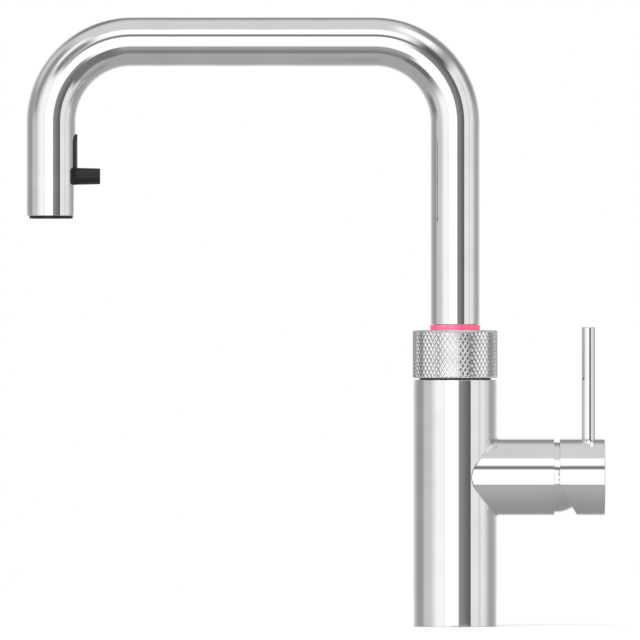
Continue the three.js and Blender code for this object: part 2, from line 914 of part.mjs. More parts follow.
function spoutFoot() {
  const groove = oringSection + clearance;
  const lowerRing = landBottom + oringEdge;
  const upperRing = landTop - oringEdge;
  const grooveFloor = neckBore - 2 * (oringSection + clearance);
  const clipTopHeight = neckLipBottom;
  const clipFoot = clipTopHeight - circlipHeight - 2 * clearance;
  const clipFloor = footRadius - circlipGrooveDepth;
  const body = turned(
    [
      [hoseBore, footBottom],
      [footRadius, footBottom],
      [footRadius, clipFoot],
      [clipFloor, clipFoot],
      [clipFloor, clipTopHeight],
      [footRadius, clipTopHeight],
      [footRadius, landBottom],
      [landRadius, landBottom],
      [landRadius, lowerRing - groove],
      [grooveFloor, lowerRing - groove],
      [grooveFloor, lowerRing + groove],
      [landRadius, lowerRing + groove],
      [landRadius, upperRing - groove],
      [grooveFloor, upperRing - groove],
      [grooveFloor, upperRing + groove],
      [landRadius, upperRing + groove],
      [landRadius, landTop],
      [footRadius, landTop],
      [footRadius, footPlugBottom],
      [footPlugRadius, footPlugBottom],
      [footPlugRadius, footPlugTop],
      [hoseBore, footPlugTop],
    ],
    innerSides,
  );
  const socket = disc(
    boilingTubeRadius + clearance,
    spoutStart,
    footPlugTop + overshoot,
    drillSides,
  ).translate(boilingOffset, 0, 0);
  return cut(body, socket);
}
addPiece(tap, "spout_foot", spoutFoot(), brass());

// The two seals sit in the foot's grooves and just clear the neck's bore.
const oringRadius = neckBore - clearance - oringSection;
for (const [name, height] of [
  ["oring_lower", landBottom + oringEdge],
  ["oring_upper", landTop - oringEdge],
]) {
  const seal = new THREE.TorusGeometry(oringRadius, oringSection, oringSides, innerSides);
  addPiece(tap, name, seal.translate(0, 0, height), rubber());
}
const circlipInner = footRadius - circlipGrooveDepth + clearance;
const circlipTop = neckLipBottom - clearance;
addPiece(
  tap,
  "swivel_circlip",
  tube(circlipInner, circlipInner + circlipWidth, circlipTop - circlipHeight, circlipTop, innerSides),
  steel(),
);

const boilingTube = swept(
  spoutRoute(spoutStart + clearance, outletHeight - nozzleDrop + boilingTubeRecess),
  boilingTubeRadius,
  0,
  boilingOffset,
  drillSides,
);
addPiece(tap, "boiling_tube", boilingTube, copper());

const runTop = legLength - clearance;
const spoutHose = swept(
  spoutRoute(neckBottom, outletHeight + legLength),
  hoseRadius,
  0,
  0,
  drillSides,
);
addPiece(tap, "spout_hose", spoutHose, steel());

// ---------------------------------------------------------------- pull-out nozzle
const ferruleTop = nozzleTop + clearance + ferruleShow;
addPiece(
  outlet,
  "pull_hose_run",
  disc(hoseRadius, ferruleTop + clearance, runTop, drillSides),
  steel(),
);

function nozzleBody() {
  const sprayTop = sprayDepth - nozzleDrop;
  const below = -nozzleDrop - overshoot;
  const above = nozzleTop + overshoot;
  const body = turned(
    [
      [0, -nozzleDrop],
      [nozzleRadius - nozzleEdge, -nozzleDrop],
      [nozzleRadius, nozzleEdge - nozzleDrop],
      [nozzleRadius, nozzleTop - nozzleEdge],
      [nozzleRadius - nozzleEdge, nozzleTop],
      [0, nozzleTop],
    ],
    spoutSides,
  );
  return cut(
    body,
    disc(hoseBore, below, sprayTop + clearance, drillSides),
    disc(nozzleWaterway, sprayTop, nozzleTop - ferruleGrip, drillSides),
    disc(hoseBore, nozzleTop - ferruleGrip - clearance, above, drillSides),
    disc(boilingTubeRadius + clearance, below, above, drillSides).translate(-boilingOffset, 0, 0),
  );
}
addPiece(outlet, "nozzle_body", nozzleBody(), blackPlastic());

// A knob on a saddle that wraps the tube, with a tongue that fills the slot above it.
function pullKnob() {
  const saddleInner = spoutRadius + clearance;
  const saddleOuter = saddleInner + saddleThickness;
  const saddle = new THREE.Shape([
    ...arc(0, 0, saddleOuter, -saddleHalfAngle, saddleHalfAngle, arcSteps),
    ...arc(0, 0, saddleInner, saddleHalfAngle, -saddleHalfAngle, arcSteps),
  ]);
  const saddlePlate = new THREE.ExtrudeGeometry(saddle, {
    depth: 2 * knobBaseRadius,
    bevelEnabled: false,
  }).translate(0, 0, knobRise - knobBaseRadius);
  const tongueBar = standingAcross(
    extruded(
      slotOutline(tongueHalfWidth, knobRise - knobBaseRadius, slotTop - clearance, 0),
      2 * spoutRadius,
    ),
  );
  const tongueSkin = tube(
    tongueInner,
    spoutRadius + tongueProud,
    knobRise - knobBaseRadius,
    slotTop,
    spoutSides,
  );
  const knob = turned(
    [
      [0, spoutRadius],
      [knobBaseRadius, spoutRadius],
      [knobTipRadius, knobReach - knobEdge],
      [knobTipRadius - knobEdge, knobReach],
      [0, knobReach],
    ],
    innerSides,
  )
    .rotateY(Math.PI / 2)
    .translate(0, 0, knobRise);
  return joined(common(tongueBar, tongueSkin), saddlePlate, knob);
}
addPiece(outlet, "pull_knob", pullKnob(), blackPlastic());

function sprayInsert() {
  const bottom = sprayRecess - nozzleDrop;
  const holes = Array.from({ length: sprayHoles }, (_, hole) => {
    const angle = (hole * 2 * Math.PI) / sprayHoles;
    return disc(sprayHoleRadius, bottom - overshoot, sprayDepth, sprayHoleSides).translate(
      sprayHoleCircle * Math.cos(angle),
      sprayHoleCircle * Math.sin(angle),
      0,
    );
  });
  return cut(disc(hoseRadius, bottom, sprayDepth - nozzleDrop, drillSides), ...holes);
}
addPiece(outlet, "spray_insert", sprayInsert(), whitePlastic());

const hoseFerrule = turned(
  [
    [0, nozzleTop - ferruleGrip],
    [hoseRadius, nozzleTop - ferruleGrip],
    [hoseRadius, nozzleTop + clearance],
    [hoseRadius + ferruleRim, nozzleTop + clearance],
    [hoseRadius + ferruleRim, ferruleTop],
    [0, ferruleTop],
  ],
  drillSides,
);
addPiece(outlet, "hose_ferrule", hoseFerrule, brass());

export default tap;
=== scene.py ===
"""Looks of the boiling water tap: fine meshes and finishes for its pieces, and a plain studio.

Lengths are in millimetres in the tap's own frame (+Z up, the spout towards -X, the lever at +X)
until a mesh is made, which turns them into metres.
"""
import math

import bpy
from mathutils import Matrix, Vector
from mathutils.bvhtree import BVHTree
from mathutils.interpolate import poly_3d_calc


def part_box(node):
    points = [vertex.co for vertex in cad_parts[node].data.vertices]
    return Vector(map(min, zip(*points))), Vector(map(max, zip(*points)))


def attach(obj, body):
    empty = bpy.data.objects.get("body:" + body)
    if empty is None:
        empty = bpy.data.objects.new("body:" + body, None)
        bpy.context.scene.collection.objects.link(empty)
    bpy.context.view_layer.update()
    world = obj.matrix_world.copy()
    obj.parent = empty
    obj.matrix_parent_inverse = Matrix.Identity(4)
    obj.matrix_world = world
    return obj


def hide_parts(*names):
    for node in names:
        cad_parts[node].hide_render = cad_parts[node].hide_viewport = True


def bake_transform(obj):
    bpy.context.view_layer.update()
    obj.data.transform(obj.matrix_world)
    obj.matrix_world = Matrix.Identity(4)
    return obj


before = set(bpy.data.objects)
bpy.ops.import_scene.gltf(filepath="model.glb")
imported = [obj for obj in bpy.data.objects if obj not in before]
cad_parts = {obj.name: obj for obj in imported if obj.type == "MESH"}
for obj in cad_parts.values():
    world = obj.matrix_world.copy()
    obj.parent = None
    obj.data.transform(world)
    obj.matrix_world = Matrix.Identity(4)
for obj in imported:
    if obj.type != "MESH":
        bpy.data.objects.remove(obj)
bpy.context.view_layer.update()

MM = 0.001


class Span:
    """The box of a CAD node, in millimetres. The radius is that of a piece turned in it."""

    def __init__(self, node):
        low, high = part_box(node)
        self.low = low / MM
        self.high = high / MM
        self.middle = (self.low + self.high) / 2
        self.radius = (self.high.y - self.low.y) / 2
        self.bottom = self.low.z
        self.top = self.high.z
        self.height = self.top - self.bottom


# ---------------------------------------------------------------- sizes that the boxes don't give
CLEARANCE = 0.3
OVERSHOOT = 1
SEAM = 0.01

# How near two lengths are that count as one, and how alike two directions are that count as one
SAME = 1e-6
NEAR = 1e-4
SMOOTH = 0.8
ALIKE = 0.9

# Roundings of edges that have no size of their own
FINE_EDGE = 0.1
SHARP_EDGE = 0.2
PLAIN_EDGE = 0.3
EASED_EDGE = 0.4
SOFT_EDGE = 0.5
EDGE_STEPS = 5

# Sides of turned forms, from the dome down to the spring's wire
DOME_SIDES = 192
BODY_SIDES = 160
PIPE_SIDES = 128
RING_SIDES = 96
SHANK_SIDES = 72
HOSE_SIDES = 64
ROD_SIDES = 48
THIN_SIDES = 32
SPRAY_SIDES = 20
WIRE_SIDES = 16

COLUMN_WALL = 2
COLUMN_EDGES = (0.15, 0.5)
HOUSING_BORE = 21
HOUSING_MOUTH = 21.5
HOUSING_MOUTH_DEPTH = 9.4
HOUSING_EDGES = (0, 0.2)
FILLET_RADIUS = 1.7
FILLET_SINK = 0.004
FILLET_STEPS = 8
DOME_WALL = 1.2
DOME_OPENING = math.radians(40)
DOME_LEAD = 0.9
DOME_BLEND = math.radians(25)
DOME_STEPS = 24
PIVOT_REACH = 60
CAP_EDGES = (0.15, 0.5)
CAP_HOLLOW = 21.6
CAP_HOLLOW_STEPS = 48
CAP_RELIEF = math.radians(30)
LEVER_EDGES = (0.45, 0.45)
LEVER_HOLE_CLEARANCE = 0.06
GRUB_HOLE_CLEARANCE = 0.15
GRUB_KEY_WIDTH = 2
GRUB_KEY_DEPTH = 2.2
STEM_HOLE = 3.8
STEM_HOLE_END = 86.9

FOOT_GROOVE_WIDTH = 3.7
GASKET_WIDTH = 3.4
GASKET_EDGE = 0.7
WASHER_EDGE = 0.6
NUT_EDGE = 2.2
SHANK_BORE = 12.5
THREAD_PITCH = 3.5
THREAD_DEPTH = 0.8
THREAD_LENGTH = 21
THREAD_RUN_OUT = 1.5
THREAD_ROW = 0.25
# The share of a thread groove's full depth, held between 0 and 1: its value in the groove's middle,
# and how much it loses in one turn away from there
THREAD_ROOT = 1.15
THREAD_FLANK = 2.4
PIPE_BORE = 2.3
PIPE_EDGE = 0.25
HOSE_BORE = 3.8

NECK_BORE = 13.3
NECK_RADIUS = 17
NECK_FLANGE = 15.7
SPIGOT_RADIUS = 21.3
SPIGOT_RISE = 2.8
COVER_BORE = 13.6
COVER_RADIUS = 15.05
COVER_FLANGE = 1.2
COVER_EDGE = 0.35
KNURL_COUNT = 54
KNURL_ROWS = 6
KNURL_MARGIN = 0.5
KNURL_DEPTH = 0.71
KNURL_STEPS = 10
KNURL_SLOPE = 0.3
RING_TOP_EDGE = 1.2
RING_FOOT_EDGE = 0.9
RING_BORE = 19.8
RING_TOP_BORE = 15.35
RING_TOP_FLANGE = 4
RING_FOOT_BORE = 21.6
RING_FOOT_DEPTH = 2.9
SPRING_WIRE = 0.58
SPRING_TURNS = 2.5
SPRING_STATIONS = 80

SPOUT_WALL = 1.2
SPOUT_EDGE = 0.3
BEND_RADIUS = 48.5
BEND_STEPS = 32
SLOT_HALF_WIDTH = 6
SLOT_HEIGHT = 49.3
SLOT_LEAD_IN = 1.2
SLOT_STEPS = 24
BOILING_OFFSET = 9.5
BOILING_RECESS = 1.7
BOILING_BORE = 1.9
HOSE_RINGS = 64
NOZZLE_DROP = 1.7
NOZZLE_EDGES = (0.5, 0.5)
NOZZLE_FACE_CHAMFER = 0.5
SPRAY_HOLE = 5.8
WATERWAY = 2.9
SPRAY_NOZZLES = 6
SPRAY_NOZZLE = 0.7
SPRAY_CIRCLE = 3.2
SPRAY_DISH = 0.4
SPRAY_DISH_RADIUS = 4.3
KNOB_BASE = 5.1
KNOB_TIP = 4.75
KNOB_EDGE = 0.35
SADDLE_GAP = 0.1
SADDLE_THICKNESS = 0.55
SADDLE_HALF_ANGLE = math.radians(36)
SADDLE_CORNER = 2.2
SADDLE_CORNER_STEPS = 8
SADDLE_SPARE = 5
TONGUE_INNER = 13.4
TONGUE_OUTER = 15.8
TONGUE_HALF_WIDTH = 5.7
TONGUE_LIFT = 1
CRIMPS = 3
CRIMP_START = 1.3
CRIMP_PITCH = 1
CRIMP_EDGE = 0.15
# A crimp's groove: heights above its foot, with the depth at each
CRIMP_GROOVE = ((0, 0), (0.25, 0.4), (0.45, 0.4), (0.7, 0))

# ---------------------------------------------------------------- places worked out from the frame
body = Span("tap_body")
cap = Span("handle_cap")
spout = Span("spout_tube")
nozzle = Span("nozzle_body")
valve_height = cap.middle.z
housing_radius = cap.radius
housing_end = body.high.x
column_bore = body.radius - COLUMN_WALL
reach = -nozzle.middle.x
spout_axis = spout.top - spout.radius
spout_bore = spout.radius - SPOUT_WALL
outlet_height = nozzle.bottom + NOZZLE_DROP
bend_start = spout_axis - BEND_RADIUS


# ---------------------------------------------------------------- axes that pieces are turned on
class Axis:
    """A straight axis through a point. Angles run from `side` towards `up`."""

    def __init__(self, origin, side, up):
        self.origin = Vector(origin)
        self.side = Vector(side)
        self.up = Vector(up)
        self.along = self.side.cross(self.up)

    def frame(self, length):
        return self.origin + self.along * length, self.side, self.up, self.along


def upright(x=0, y=0):
    """The upright axis over (x, y). Lengths on it are heights."""
    return Axis((x, y, 0), (1, 0, 0), (0, 1, 0))


def towards_lever(height):
    """The axis of the side housing. Lengths on it are distances from the column's axis."""
    return Axis((0, 0, height), (0, 1, 0), (0, 0, 1))


class SpoutLine:
    """The spout's centre line: riser, bend, level run, bend and leg. A length on the riser is a
    height, and then it runs on to the outlet."""

    def __init__(self, offset=0):
        self.offset = offset
        self.bend = BEND_RADIUS * math.pi / 2
        self.level = reach - 2 * BEND_RADIUS
        self.second_bend = bend_start + self.bend + self.level
        self.end = self.second_bend + self.bend + bend_start - outlet_height

    def frame(self, length):
        bends = (bend_start, self.second_bend)
        bent = sum(min(max(length - bend, 0), self.bend) for bend in bends)
        angle = bent / BEND_RADIUS
        side = Vector((math.cos(angle), 0, math.sin(angle)))
        along = Vector((-math.sin(angle), 0, math.cos(angle)))
        riser = min(length - bent, bend_start)
        level = min(length - bent - riser, self.level)
        leg = length - bent - riser - level
        origin = Vector((-BEND_RADIUS - level, 0, riser - leg)) + side * BEND_RADIUS
        return origin + side * self.offset, side, Vector((0, 1, 0)), along

    def stations(self, steps):
        """Lengths at which a sweep takes a ring: the bends in even steps."""
        bends = [bend_start, self.second_bend]
        return [start + self.bend * step / steps for start in bends for step in range(steps + 1)]


class CoilLine:
    """The centre line of a coil spring. Its lengths run along the wire."""

    def __init__(self, radius, bottom, top, turns):
        self.radius = radius
        self.bottom = bottom
        self.rise = top - bottom
        self.angle = turns * math.tau
        self.length = math.hypot(self.rise, radius * self.angle)

    def frame(self, length):
        share = length / self.length
        turned_by = self.angle * share
        side = Vector((math.cos(turned_by), math.sin(turned_by), 0))
        origin = side * self.radius + Vector((0, 0, self.bottom + self.rise * share))
        around = self.radius * self.angle
        along = Vector((-side.y * around, side.x * around, self.rise)).normalized()
        return origin, side, along.cross(side), along


# ---------------------------------------------------------------- forms with true normals
class Form:
    """A closed mesh in millimetres. `normals` holds one normal for each corner of each face, or
    None for a face that takes its shading from its neighbours."""

    def __init__(self):
        self.points = []
        self.faces = []
        self.normals = []

    def point(self, place):
        self.points.append(Vector(place))
        return len(self.points) - 1

    def face(self, corners, normals=None):
        self.faces.append(list(corners))
        self.normals.append(normals)


def rounded(corners, closed, edge=0):
    """Edges of an outline whose corners are (radius, height, rounding), where the rounding is
    `edge` if it's left out. Each edge is its two ends with the true normal at each. The outline
    runs counter-clockwise with the axis on its left."""
    flat = [Vector((corner[0], corner[1])) for corner in corners]
    count = len(corners)
    trail = []
    for index, corner in enumerate(corners):
        rounding = corner[2] if len(corner) > 2 else edge
        if not closed and index in (0, count - 1):
            rounding = 0
        before = (flat[index] - flat[index - 1]).normalized()
        after = (flat[(index + 1) % count] - flat[index]).normalized()
        turn = math.atan2(before.cross(after), before.dot(after))
        if rounding == 0 or abs(turn) < SAME:
            trail.append([(flat[index], None)])
            continue
        cut = rounding * math.tan(abs(turn) / 2)
        start = flat[index] - before * cut
        first = Vector((before.y, -before.x))
        bulge = math.copysign(rounding, turn)
        centre = start - first * bulge
        stops = []
        for step in range(EDGE_STEPS + 1):
            angle = turn * step / EDGE_STEPS
            cosine, sine = math.cos(angle), math.sin(angle)
            normal = Vector((first.x * cosine - first.y * sine, first.x * sine + first.y * cosine))
            stops.append((centre + normal * bulge, normal))
        trail.append(stops)
    edges = []
    for index, stops in enumerate(trail):
        for (start, start_normal), (end, end_normal) in zip(stops, stops[1:]):
            edges.append((start, start_normal, end, end_normal))
        if not closed and index == count - 1:
            break
        start, end = stops[-1][0], trail[(index + 1) % count][0][0]
        along = (end - start).normalized()
        normal = Vector((along.y, -along.x))
        edges.append((start, normal, end, normal))
    return edges


def split_at(edges, heights):
    """The same edges with more stops, so that a long edge can follow a bend or a blend."""
    split = []
    for start, start_normal, end, end_normal in edges:
        low, high = sorted((start.y, end.y))
        stops = [height for height in heights if low + NEAR < height < high - NEAR]
        stops.sort(reverse=start.y > end.y)
        last, last_normal = start, start_normal
        for height in stops:
            share = (height - start.y) / (end.y - start.y)
            here = start.lerp(end, share)
            normal = start_normal.lerp(end_normal, share).normalized()
            split.append((last, last_normal, here, normal))
            last, last_normal = here, normal
        split.append((last, last_normal, end, end_normal))
    return split


def turned(edges, axis, sides):
    """Turns the outline's edges round an axis, which may be bent."""
    form = Form()
    closed = (edges[-1][2] - edges[0][0]).length < SAME
    stops = [edge[0] for edge in edges] + ([] if closed else [edges[-1][2]])
    turns = [(math.cos(a), math.sin(a)) for a in (2 * math.pi * k / sides for k in range(sides))]
    rings = []
    for radius, length in stops:
        origin, side, up, _ = axis.frame(length)
        if radius < SAME:
            rings.append([form.point(origin)] * sides)
        else:
            rings.append([form.point(origin + (side * c + up * s) * radius) for c, s in turns])
    for index, (start, start_normal, end, end_normal) in enumerate(edges):
        if start.x < SAME and end.x < SAME:
            continue
        low, high = rings[index], rings[(index + 1) % len(rings)]
        low_normals, high_normals = (
            [(side * c + up * s) * normal.x + along * normal.y for c, s in turns]
            for (_, side, up, along), normal in (
                (axis.frame(start.y), start_normal),
                (axis.frame(end.y), end_normal),
            )
        )
        for k in range(sides):
            n = (k + 1) % sides
            corners = [low[k], low[n], high[n], high[k]]
            normals = [low_normals[k], low_normals[n], high_normals[n], high_normals[k]]
            if start.x < SAME:
                del corners[0], normals[0]
            elif end.x < SAME:
                del corners[3], normals[3]
            form.face(corners, normals)
    return form


def lathe(corners, axis, sides=RING_SIDES, edge=0, stations=()):
    """Turns an outline with rounded corners. Where it starts on the axis, it is open there."""
    edges = rounded(corners, corners[0][0] > 0, edge)
    return turned(split_at(edges, stations), axis, sides)


def ring(inner, outer, bottom, top, axis, sides=RING_SIDES, edge=PLAIN_EDGE, stations=()):
    """A plain tube or washer with rounded edges."""
    corners = [(inner, bottom), (outer, bottom), (outer, top), (inner, top)]
    return lathe(corners, axis, sides, edge, stations)


def rod(radius, bottom, top, axis, sides=ROD_SIDES, edges=(PLAIN_EDGE, PLAIN_EDGE), stations=()):
    """A solid round bar. `edges` are the roundings of its two ends."""
    corners = [(0, bottom), (radius, bottom, edges[0]), (radius, top, edges[1]), (0, top)]
    return lathe(corners, axis, sides, stations=stations)


def drill(radius, bottom, top, axis, sides):
    """A round bar with sharp ends that cuts a hole."""
    return rod(radius, bottom, top, axis, sides, (0, 0))


def bar(outline, axis, start, depth):
    """A bar with a flat outline of (side, up) places, counter-clockwise. It runs along the axis."""
    form = Form()
    origin, side, up, along = axis.frame(start)
    base = [origin + side * x + up * y for x, y in outline]
    count = len(base)
    low = [form.point(place) for place in base]
    high = [form.point(place + along * depth) for place in base]
    edges = [(base[(k + 1) % count] - base[k]).cross(along).normalized() for k in range(count)]
    form.face(low[::-1], [-along] * count)
    form.face(high, [along] * count)
    for k in range(count):
        n = (k + 1) % count
        before, after = [
            (edges[k] + (edges[m] if edges[k].dot(edges[m]) > SMOOTH else Vector())).normalized()
            for m in (k - 1, n)
        ]
        form.face([low[k], low[n], high[n], high[k]], [before, after, after, before])
    return form


def in_scene(name, data):
    thing = bpy.data.objects.new(name, data)
    bpy.context.scene.collection.objects.link(thing)
    return thing


def bare_mesh(name, form):
    mesh = bpy.data.meshes.new(name)
    mesh.from_pydata([place * MM for place in form.points], [], form.faces)
    return in_scene(name, mesh)


def carried_normals(form, sources):
    """The true normals of faces that were left after carving, read from the forms they came from."""
    trees = [(BVHTree.FromPolygons(f.points, f.faces), f, sign) for f, sign in sources]
    found = []
    for corners in form.faces:
        places = [form.points[corner] for corner in corners]
        centre = sum(places, Vector()) / len(places)
        facing = Vector()
        for k, place in enumerate(places):
            facing += (place - centre).cross(places[(k + 1) % len(places)] - centre)
        facing.normalize()
        best = None
        for tree, source, sign in trees:
            _, normal, index, distance = tree.find_nearest(centre)
            if normal is None or normal.dot(facing) * sign < ALIKE:
                continue
            mismatch = distance + 1 - normal.dot(facing) * sign
            if best is None or mismatch < best[0]:
                best = (mismatch, source, index, sign)
        if best is None or best[1].normals[best[2]] is None:
            found.append(None)
            continue
        _, source, index, sign = best
        outline = [source.points[corner] for corner in source.faces[index]]
        normals = []
        for place in places:
            shares = poly_3d_calc(outline, place)
            normal = sum((n * w for n, w in zip(source.normals[index], shares)), Vector())
            normals.append(normal.normalized() * sign)
        found.append(normals)
    return found


def carved(base, join=(), cut=(), keep=()):
    """Joins forms to a form, cuts forms from it, keeps what lies in others, in that order. The
    true normals stay."""
    thing = bare_mesh("carving", base)
    sources = [(base, 1)]
    steps = [("UNION", tool) for tool in join]
    steps += [("DIFFERENCE", tool) for tool in cut]
    steps += [("INTERSECT", tool) for tool in keep]
    for operation, tool in steps:
        cutter = bare_mesh("cutter", tool)
        modifier = thing.modifiers.new("step", "BOOLEAN")
        modifier.operation = operation
        modifier.solver = "EXACT"
        modifier.object = cutter
        graph = bpy.context.evaluated_depsgraph_get()
        result = bpy.data.meshes.new_from_object(thing.evaluated_get(graph))
        thing.modifiers.clear()
        thing.data = result
        bpy.data.objects.remove(cutter)
        sources.append((tool, -1 if operation == "DIFFERENCE" else 1))
    form = Form()
    form.points = [vertex.co / MM for vertex in thing.data.vertices]
    form.faces = [list(polygon.vertices) for polygon in thing.data.polygons]
    form.normals = carried_normals(form, sources)
    bpy.data.objects.remove(thing)
    return form


def piece(name, form, body_name, slot, *nodes, finish=None):
    """Makes an object of a form, with its finish, hangs it on the body it rides on, and hides the CAD
    nodes that it stands for.
    """
    thing = bare_mesh(name, form)
    mesh = thing.data
    mesh.polygons.foreach_set("use_smooth", [True] * len(mesh.polygons))
    # A normal of no length leaves its corner to the smooth shading
    loose = Vector()
    corners = [
        normal
        for face, normals in zip(form.faces, form.normals)
        for normal in (normals or [loose] * len(face))
    ]
    mesh.normals_split_custom_set(corners)
    mesh.materials.append(finish or FINISHES[slot])
    if body_name:
        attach(thing, body_name)
    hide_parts(*nodes)
    return thing


# ---------------------------------------------------------------- nodes for finishes
def node(tree, kind, inputs=None, **settings):
    """Adds a node. An input is given a value, or a socket to link it to."""
    made = tree.nodes.new("ShaderNode" + kind)
    for name, value in settings.items():
        setattr(made, name, value)
    for key, value in (inputs or {}).items():
        if isinstance(value, bpy.types.NodeSocket):
            tree.links.new(value, made.inputs[key])
        else:
            made.inputs[key].default_value = value
    return made


def calc(tree, operation, *values):
    """A Math node on numbers or sockets."""
    return node(tree, "Math", dict(enumerate(values)), operation=operation).outputs[0]


def spread(tree, value, low, high, to_low, to_high, interpolation="LINEAR"):
    """Maps a value from one range to another, held at both ends."""
    names = ("Value", "From Min", "From Max", "To Min", "To Max")
    inputs = dict(zip(names, (value, low, high, to_low, to_high)))
    return node(tree, "MapRange", inputs, interpolation_type=interpolation).outputs[0]


def object_places(tree, scale=(1, 1, 1)):
    """The surface's place in millimetres, stretched by a scale for each direction."""
    places = node(tree, "TexCoord").outputs["Object"]
    inputs = {0: places, 1: [s / MM for s in scale]}
    return node(tree, "VectorMath", inputs, operation="MULTIPLY").outputs[0]


def directions(tree, vector):
    """The X, Y and Z of a vector."""
    return node(tree, "SeparateXYZ", {0: vector}).outputs


def noise(tree, places, scale, detail=2.0):
    return node(tree, "TexNoise", {"Vector": places, "Scale": scale, "Detail": detail}).outputs["Fac"]


def shade(tree, mask, low, high):
    """A colour between two colours by a mask."""
    return node(tree, "Mix", {0: mask, 6: (*low, 1), 7: (*high, 1)}, data_type="RGBA").outputs[2]


def mixed(tree, mask, first, second):
    """One shader where the mask is 0 and the other where it is 1."""
    return node(tree, "MixShader", {0: mask, 1: first.outputs[0], 2: second.outputs[0]})


def effect_group(name, inputs, build):
    """A shader node group with named number inputs and outputs."""
    tree = bpy.data.node_groups.new(name, "ShaderNodeTree")
    for label, value in inputs.items():
        socket = tree.interface.new_socket(label, in_out="INPUT", socket_type="NodeSocketFloat")
        socket.default_value = value
    made = build(tree, tree.nodes.new("NodeGroupInput").outputs)
    for label in made:
        tree.interface.new_socket(label, in_out="OUTPUT", socket_type="NodeSocketFloat")
    results = tree.nodes.new("NodeGroupOutput").inputs
    for label, socket in made.items():
        tree.links.new(socket, results[label])
    return tree


# How far the places under a pattern are stretched in x, y and z. More makes it finer that way.
SMEAR_STRETCH = (0.6, 0.6, 1)
HAIRLINE_STRETCH = (5, 5, 0.25)
TURNING_STRETCH = (0.02, 0.02, 1)


def wiped_metal(tree, given):
    """Faint smears where a cloth went over, and hairlines along the wiping."""
    smears = calc(tree, "DIVIDE", 1, given["Smear size"])
    broad = noise(tree, object_places(tree, SMEAR_STRETCH), smears, 3)
    hair = noise(tree, object_places(tree, HAIRLINE_STRETCH), given["Hairline density"], 1)
    return {
        "Smear": spread(tree, broad, 0.42, 0.75, 0, 1),
        "Hairlines": spread(tree, hair, 0.62, 0.8, 0, 1),
    }


def turning_lines(tree, given):
    """Fine lines round a turned piece, uneven in strength."""
    near = noise(tree, object_places(tree, TURNING_STRETCH), given["Lines per mm"])
    patch = noise(tree, object_places(tree), 0.2)
    return {"Height": near, "Tone": calc(tree, "MULTIPLY", near, patch)}


def moulded_grain(tree, given):
    """The fine spark-eroded texture of a moulded plastic, with a slow mottle of its gloss."""
    places = object_places(tree)
    grains = calc(tree, "DIVIDE", 1, given["Grain size"])
    return {"Height": noise(tree, places, grains), "Mottle": noise(tree, places, 0.15, 3)}


def braid_weave(tree, given):
    """Two sets of strands that cross over and under each other round a hose."""
    right = calc(tree, "ADD", given["Around"], given["Along"])
    left = calc(tree, "SUBTRACT", given["Around"], given["Along"])
    cells = calc(tree, "ADD", calc(tree, "FLOOR", right), calc(tree, "FLOOR", left))
    over = calc(tree, "PINGPONG", cells, 1)
    strands = []
    for turns, shown in ((right, over), (left, calc(tree, "SUBTRACT", 1, over))):
        wave = calc(tree, "ABSOLUTE", calc(tree, "SINE", calc(tree, "MULTIPLY", turns, math.pi)))
        strands.append(calc(tree, "MULTIPLY", wave, shown))
    return {"Height": calc(tree, "ADD", *strands)}


WIPED = effect_group("wiped_metal", {"Smear size": 18, "Hairline density": 0.6}, wiped_metal)
TURNED = effect_group("turning_lines", {"Lines per mm": 6}, turning_lines)
GRAIN = effect_group("moulded_grain", {"Grain size": 0.25}, moulded_grain)
BRAID = effect_group("braid_weave", {"Around": 0, "Along": 0}, braid_weave)


class Finish:
    """A material whose Principled BSDF has these uniform values."""

    def __init__(self, name, **settings):
        self.material = bpy.data.materials.new(name)
        self.material.use_nodes = True
        self.tree = self.material.node_tree
        self.shader = self.tree.nodes["Principled BSDF"]
        for key, value in settings.items():
            self.shader.inputs[key.replace("_", " ")].default_value = value

    def group(self, effect, **inputs):
        """Places an effect with its own values. Gives its outputs."""
        named = {key.replace("_", " "): value for key, value in inputs.items()}
        return node(self.tree, "Group", named, node_tree=effect).outputs

    def feed(self, name, socket):
        self.tree.links.new(socket, self.shader.inputs[name])

    def tint(self, mask, low, high):
        """Base Color between two colours by a mask."""
        self.feed("Base Color", shade(self.tree, mask, low, high))

    def gloss(self, mask, low, high, to_low, to_high):
        """Roughness by a mask."""
        self.feed("Roughness", spread(self.tree, mask, low, high, to_low, to_high))

    def bump(self, height, depth, strength=1.0):
        """A bump of the given depth in millimetres."""
        inputs = {"Height": height, "Strength": strength, "Distance": depth * MM}
        self.feed("Normal", node(self.tree, "Bump", inputs).outputs["Normal"])

    def shows(self, shader):
        """Shows another shader in place of the Principled BSDF alone."""
        self.tree.links.new(shader.outputs[0], self.tree.nodes["Material Output"].inputs["Surface"])


def metal(name, dark, light, smooth, rough, smear_size=18):
    """Polished metal: smears change its gloss and tone a little."""
    finish = Finish(name, Metallic=1.0)
    marks = finish.group(WIPED, Smear_size=smear_size)
    finish.tint(marks["Smear"], light, dark)
    finish.gloss(marks["Smear"], 0, 1, smooth, rough)
    finish.bump(marks["Hairlines"], 0.0004, 0.4)
    return finish.material


def turned_metal(name, dark, light, smooth, rough, lines=6):
    """Machined metal with turning lines."""
    finish = Finish(name, Metallic=1.0)
    marks = finish.group(TURNED, Lines_per_mm=lines)
    finish.tint(marks["Tone"], dark, light)
    finish.gloss(marks["Tone"], 0.1, 0.5, rough, smooth)
    finish.bump(marks["Height"], 0.01, 0.5)
    return finish.material


def plastic(name, dark, light, smooth, rough, grain=0.25, depth=0.012):
    """Moulded plastic or rubber with a fine grain."""
    finish = Finish(name, Metallic=0.0)
    marks = finish.group(GRAIN, Grain_size=grain)
    finish.tint(marks["Mottle"], dark, light)
    finish.gloss(marks["Mottle"], 0.3, 0.7, smooth, rough)
    finish.bump(marks["Height"], depth, 0.6)
    return finish.material


BRAID_STRANDS = 12
BRAID_PITCH = 2.9
BRAID_DEPTH = 0.25


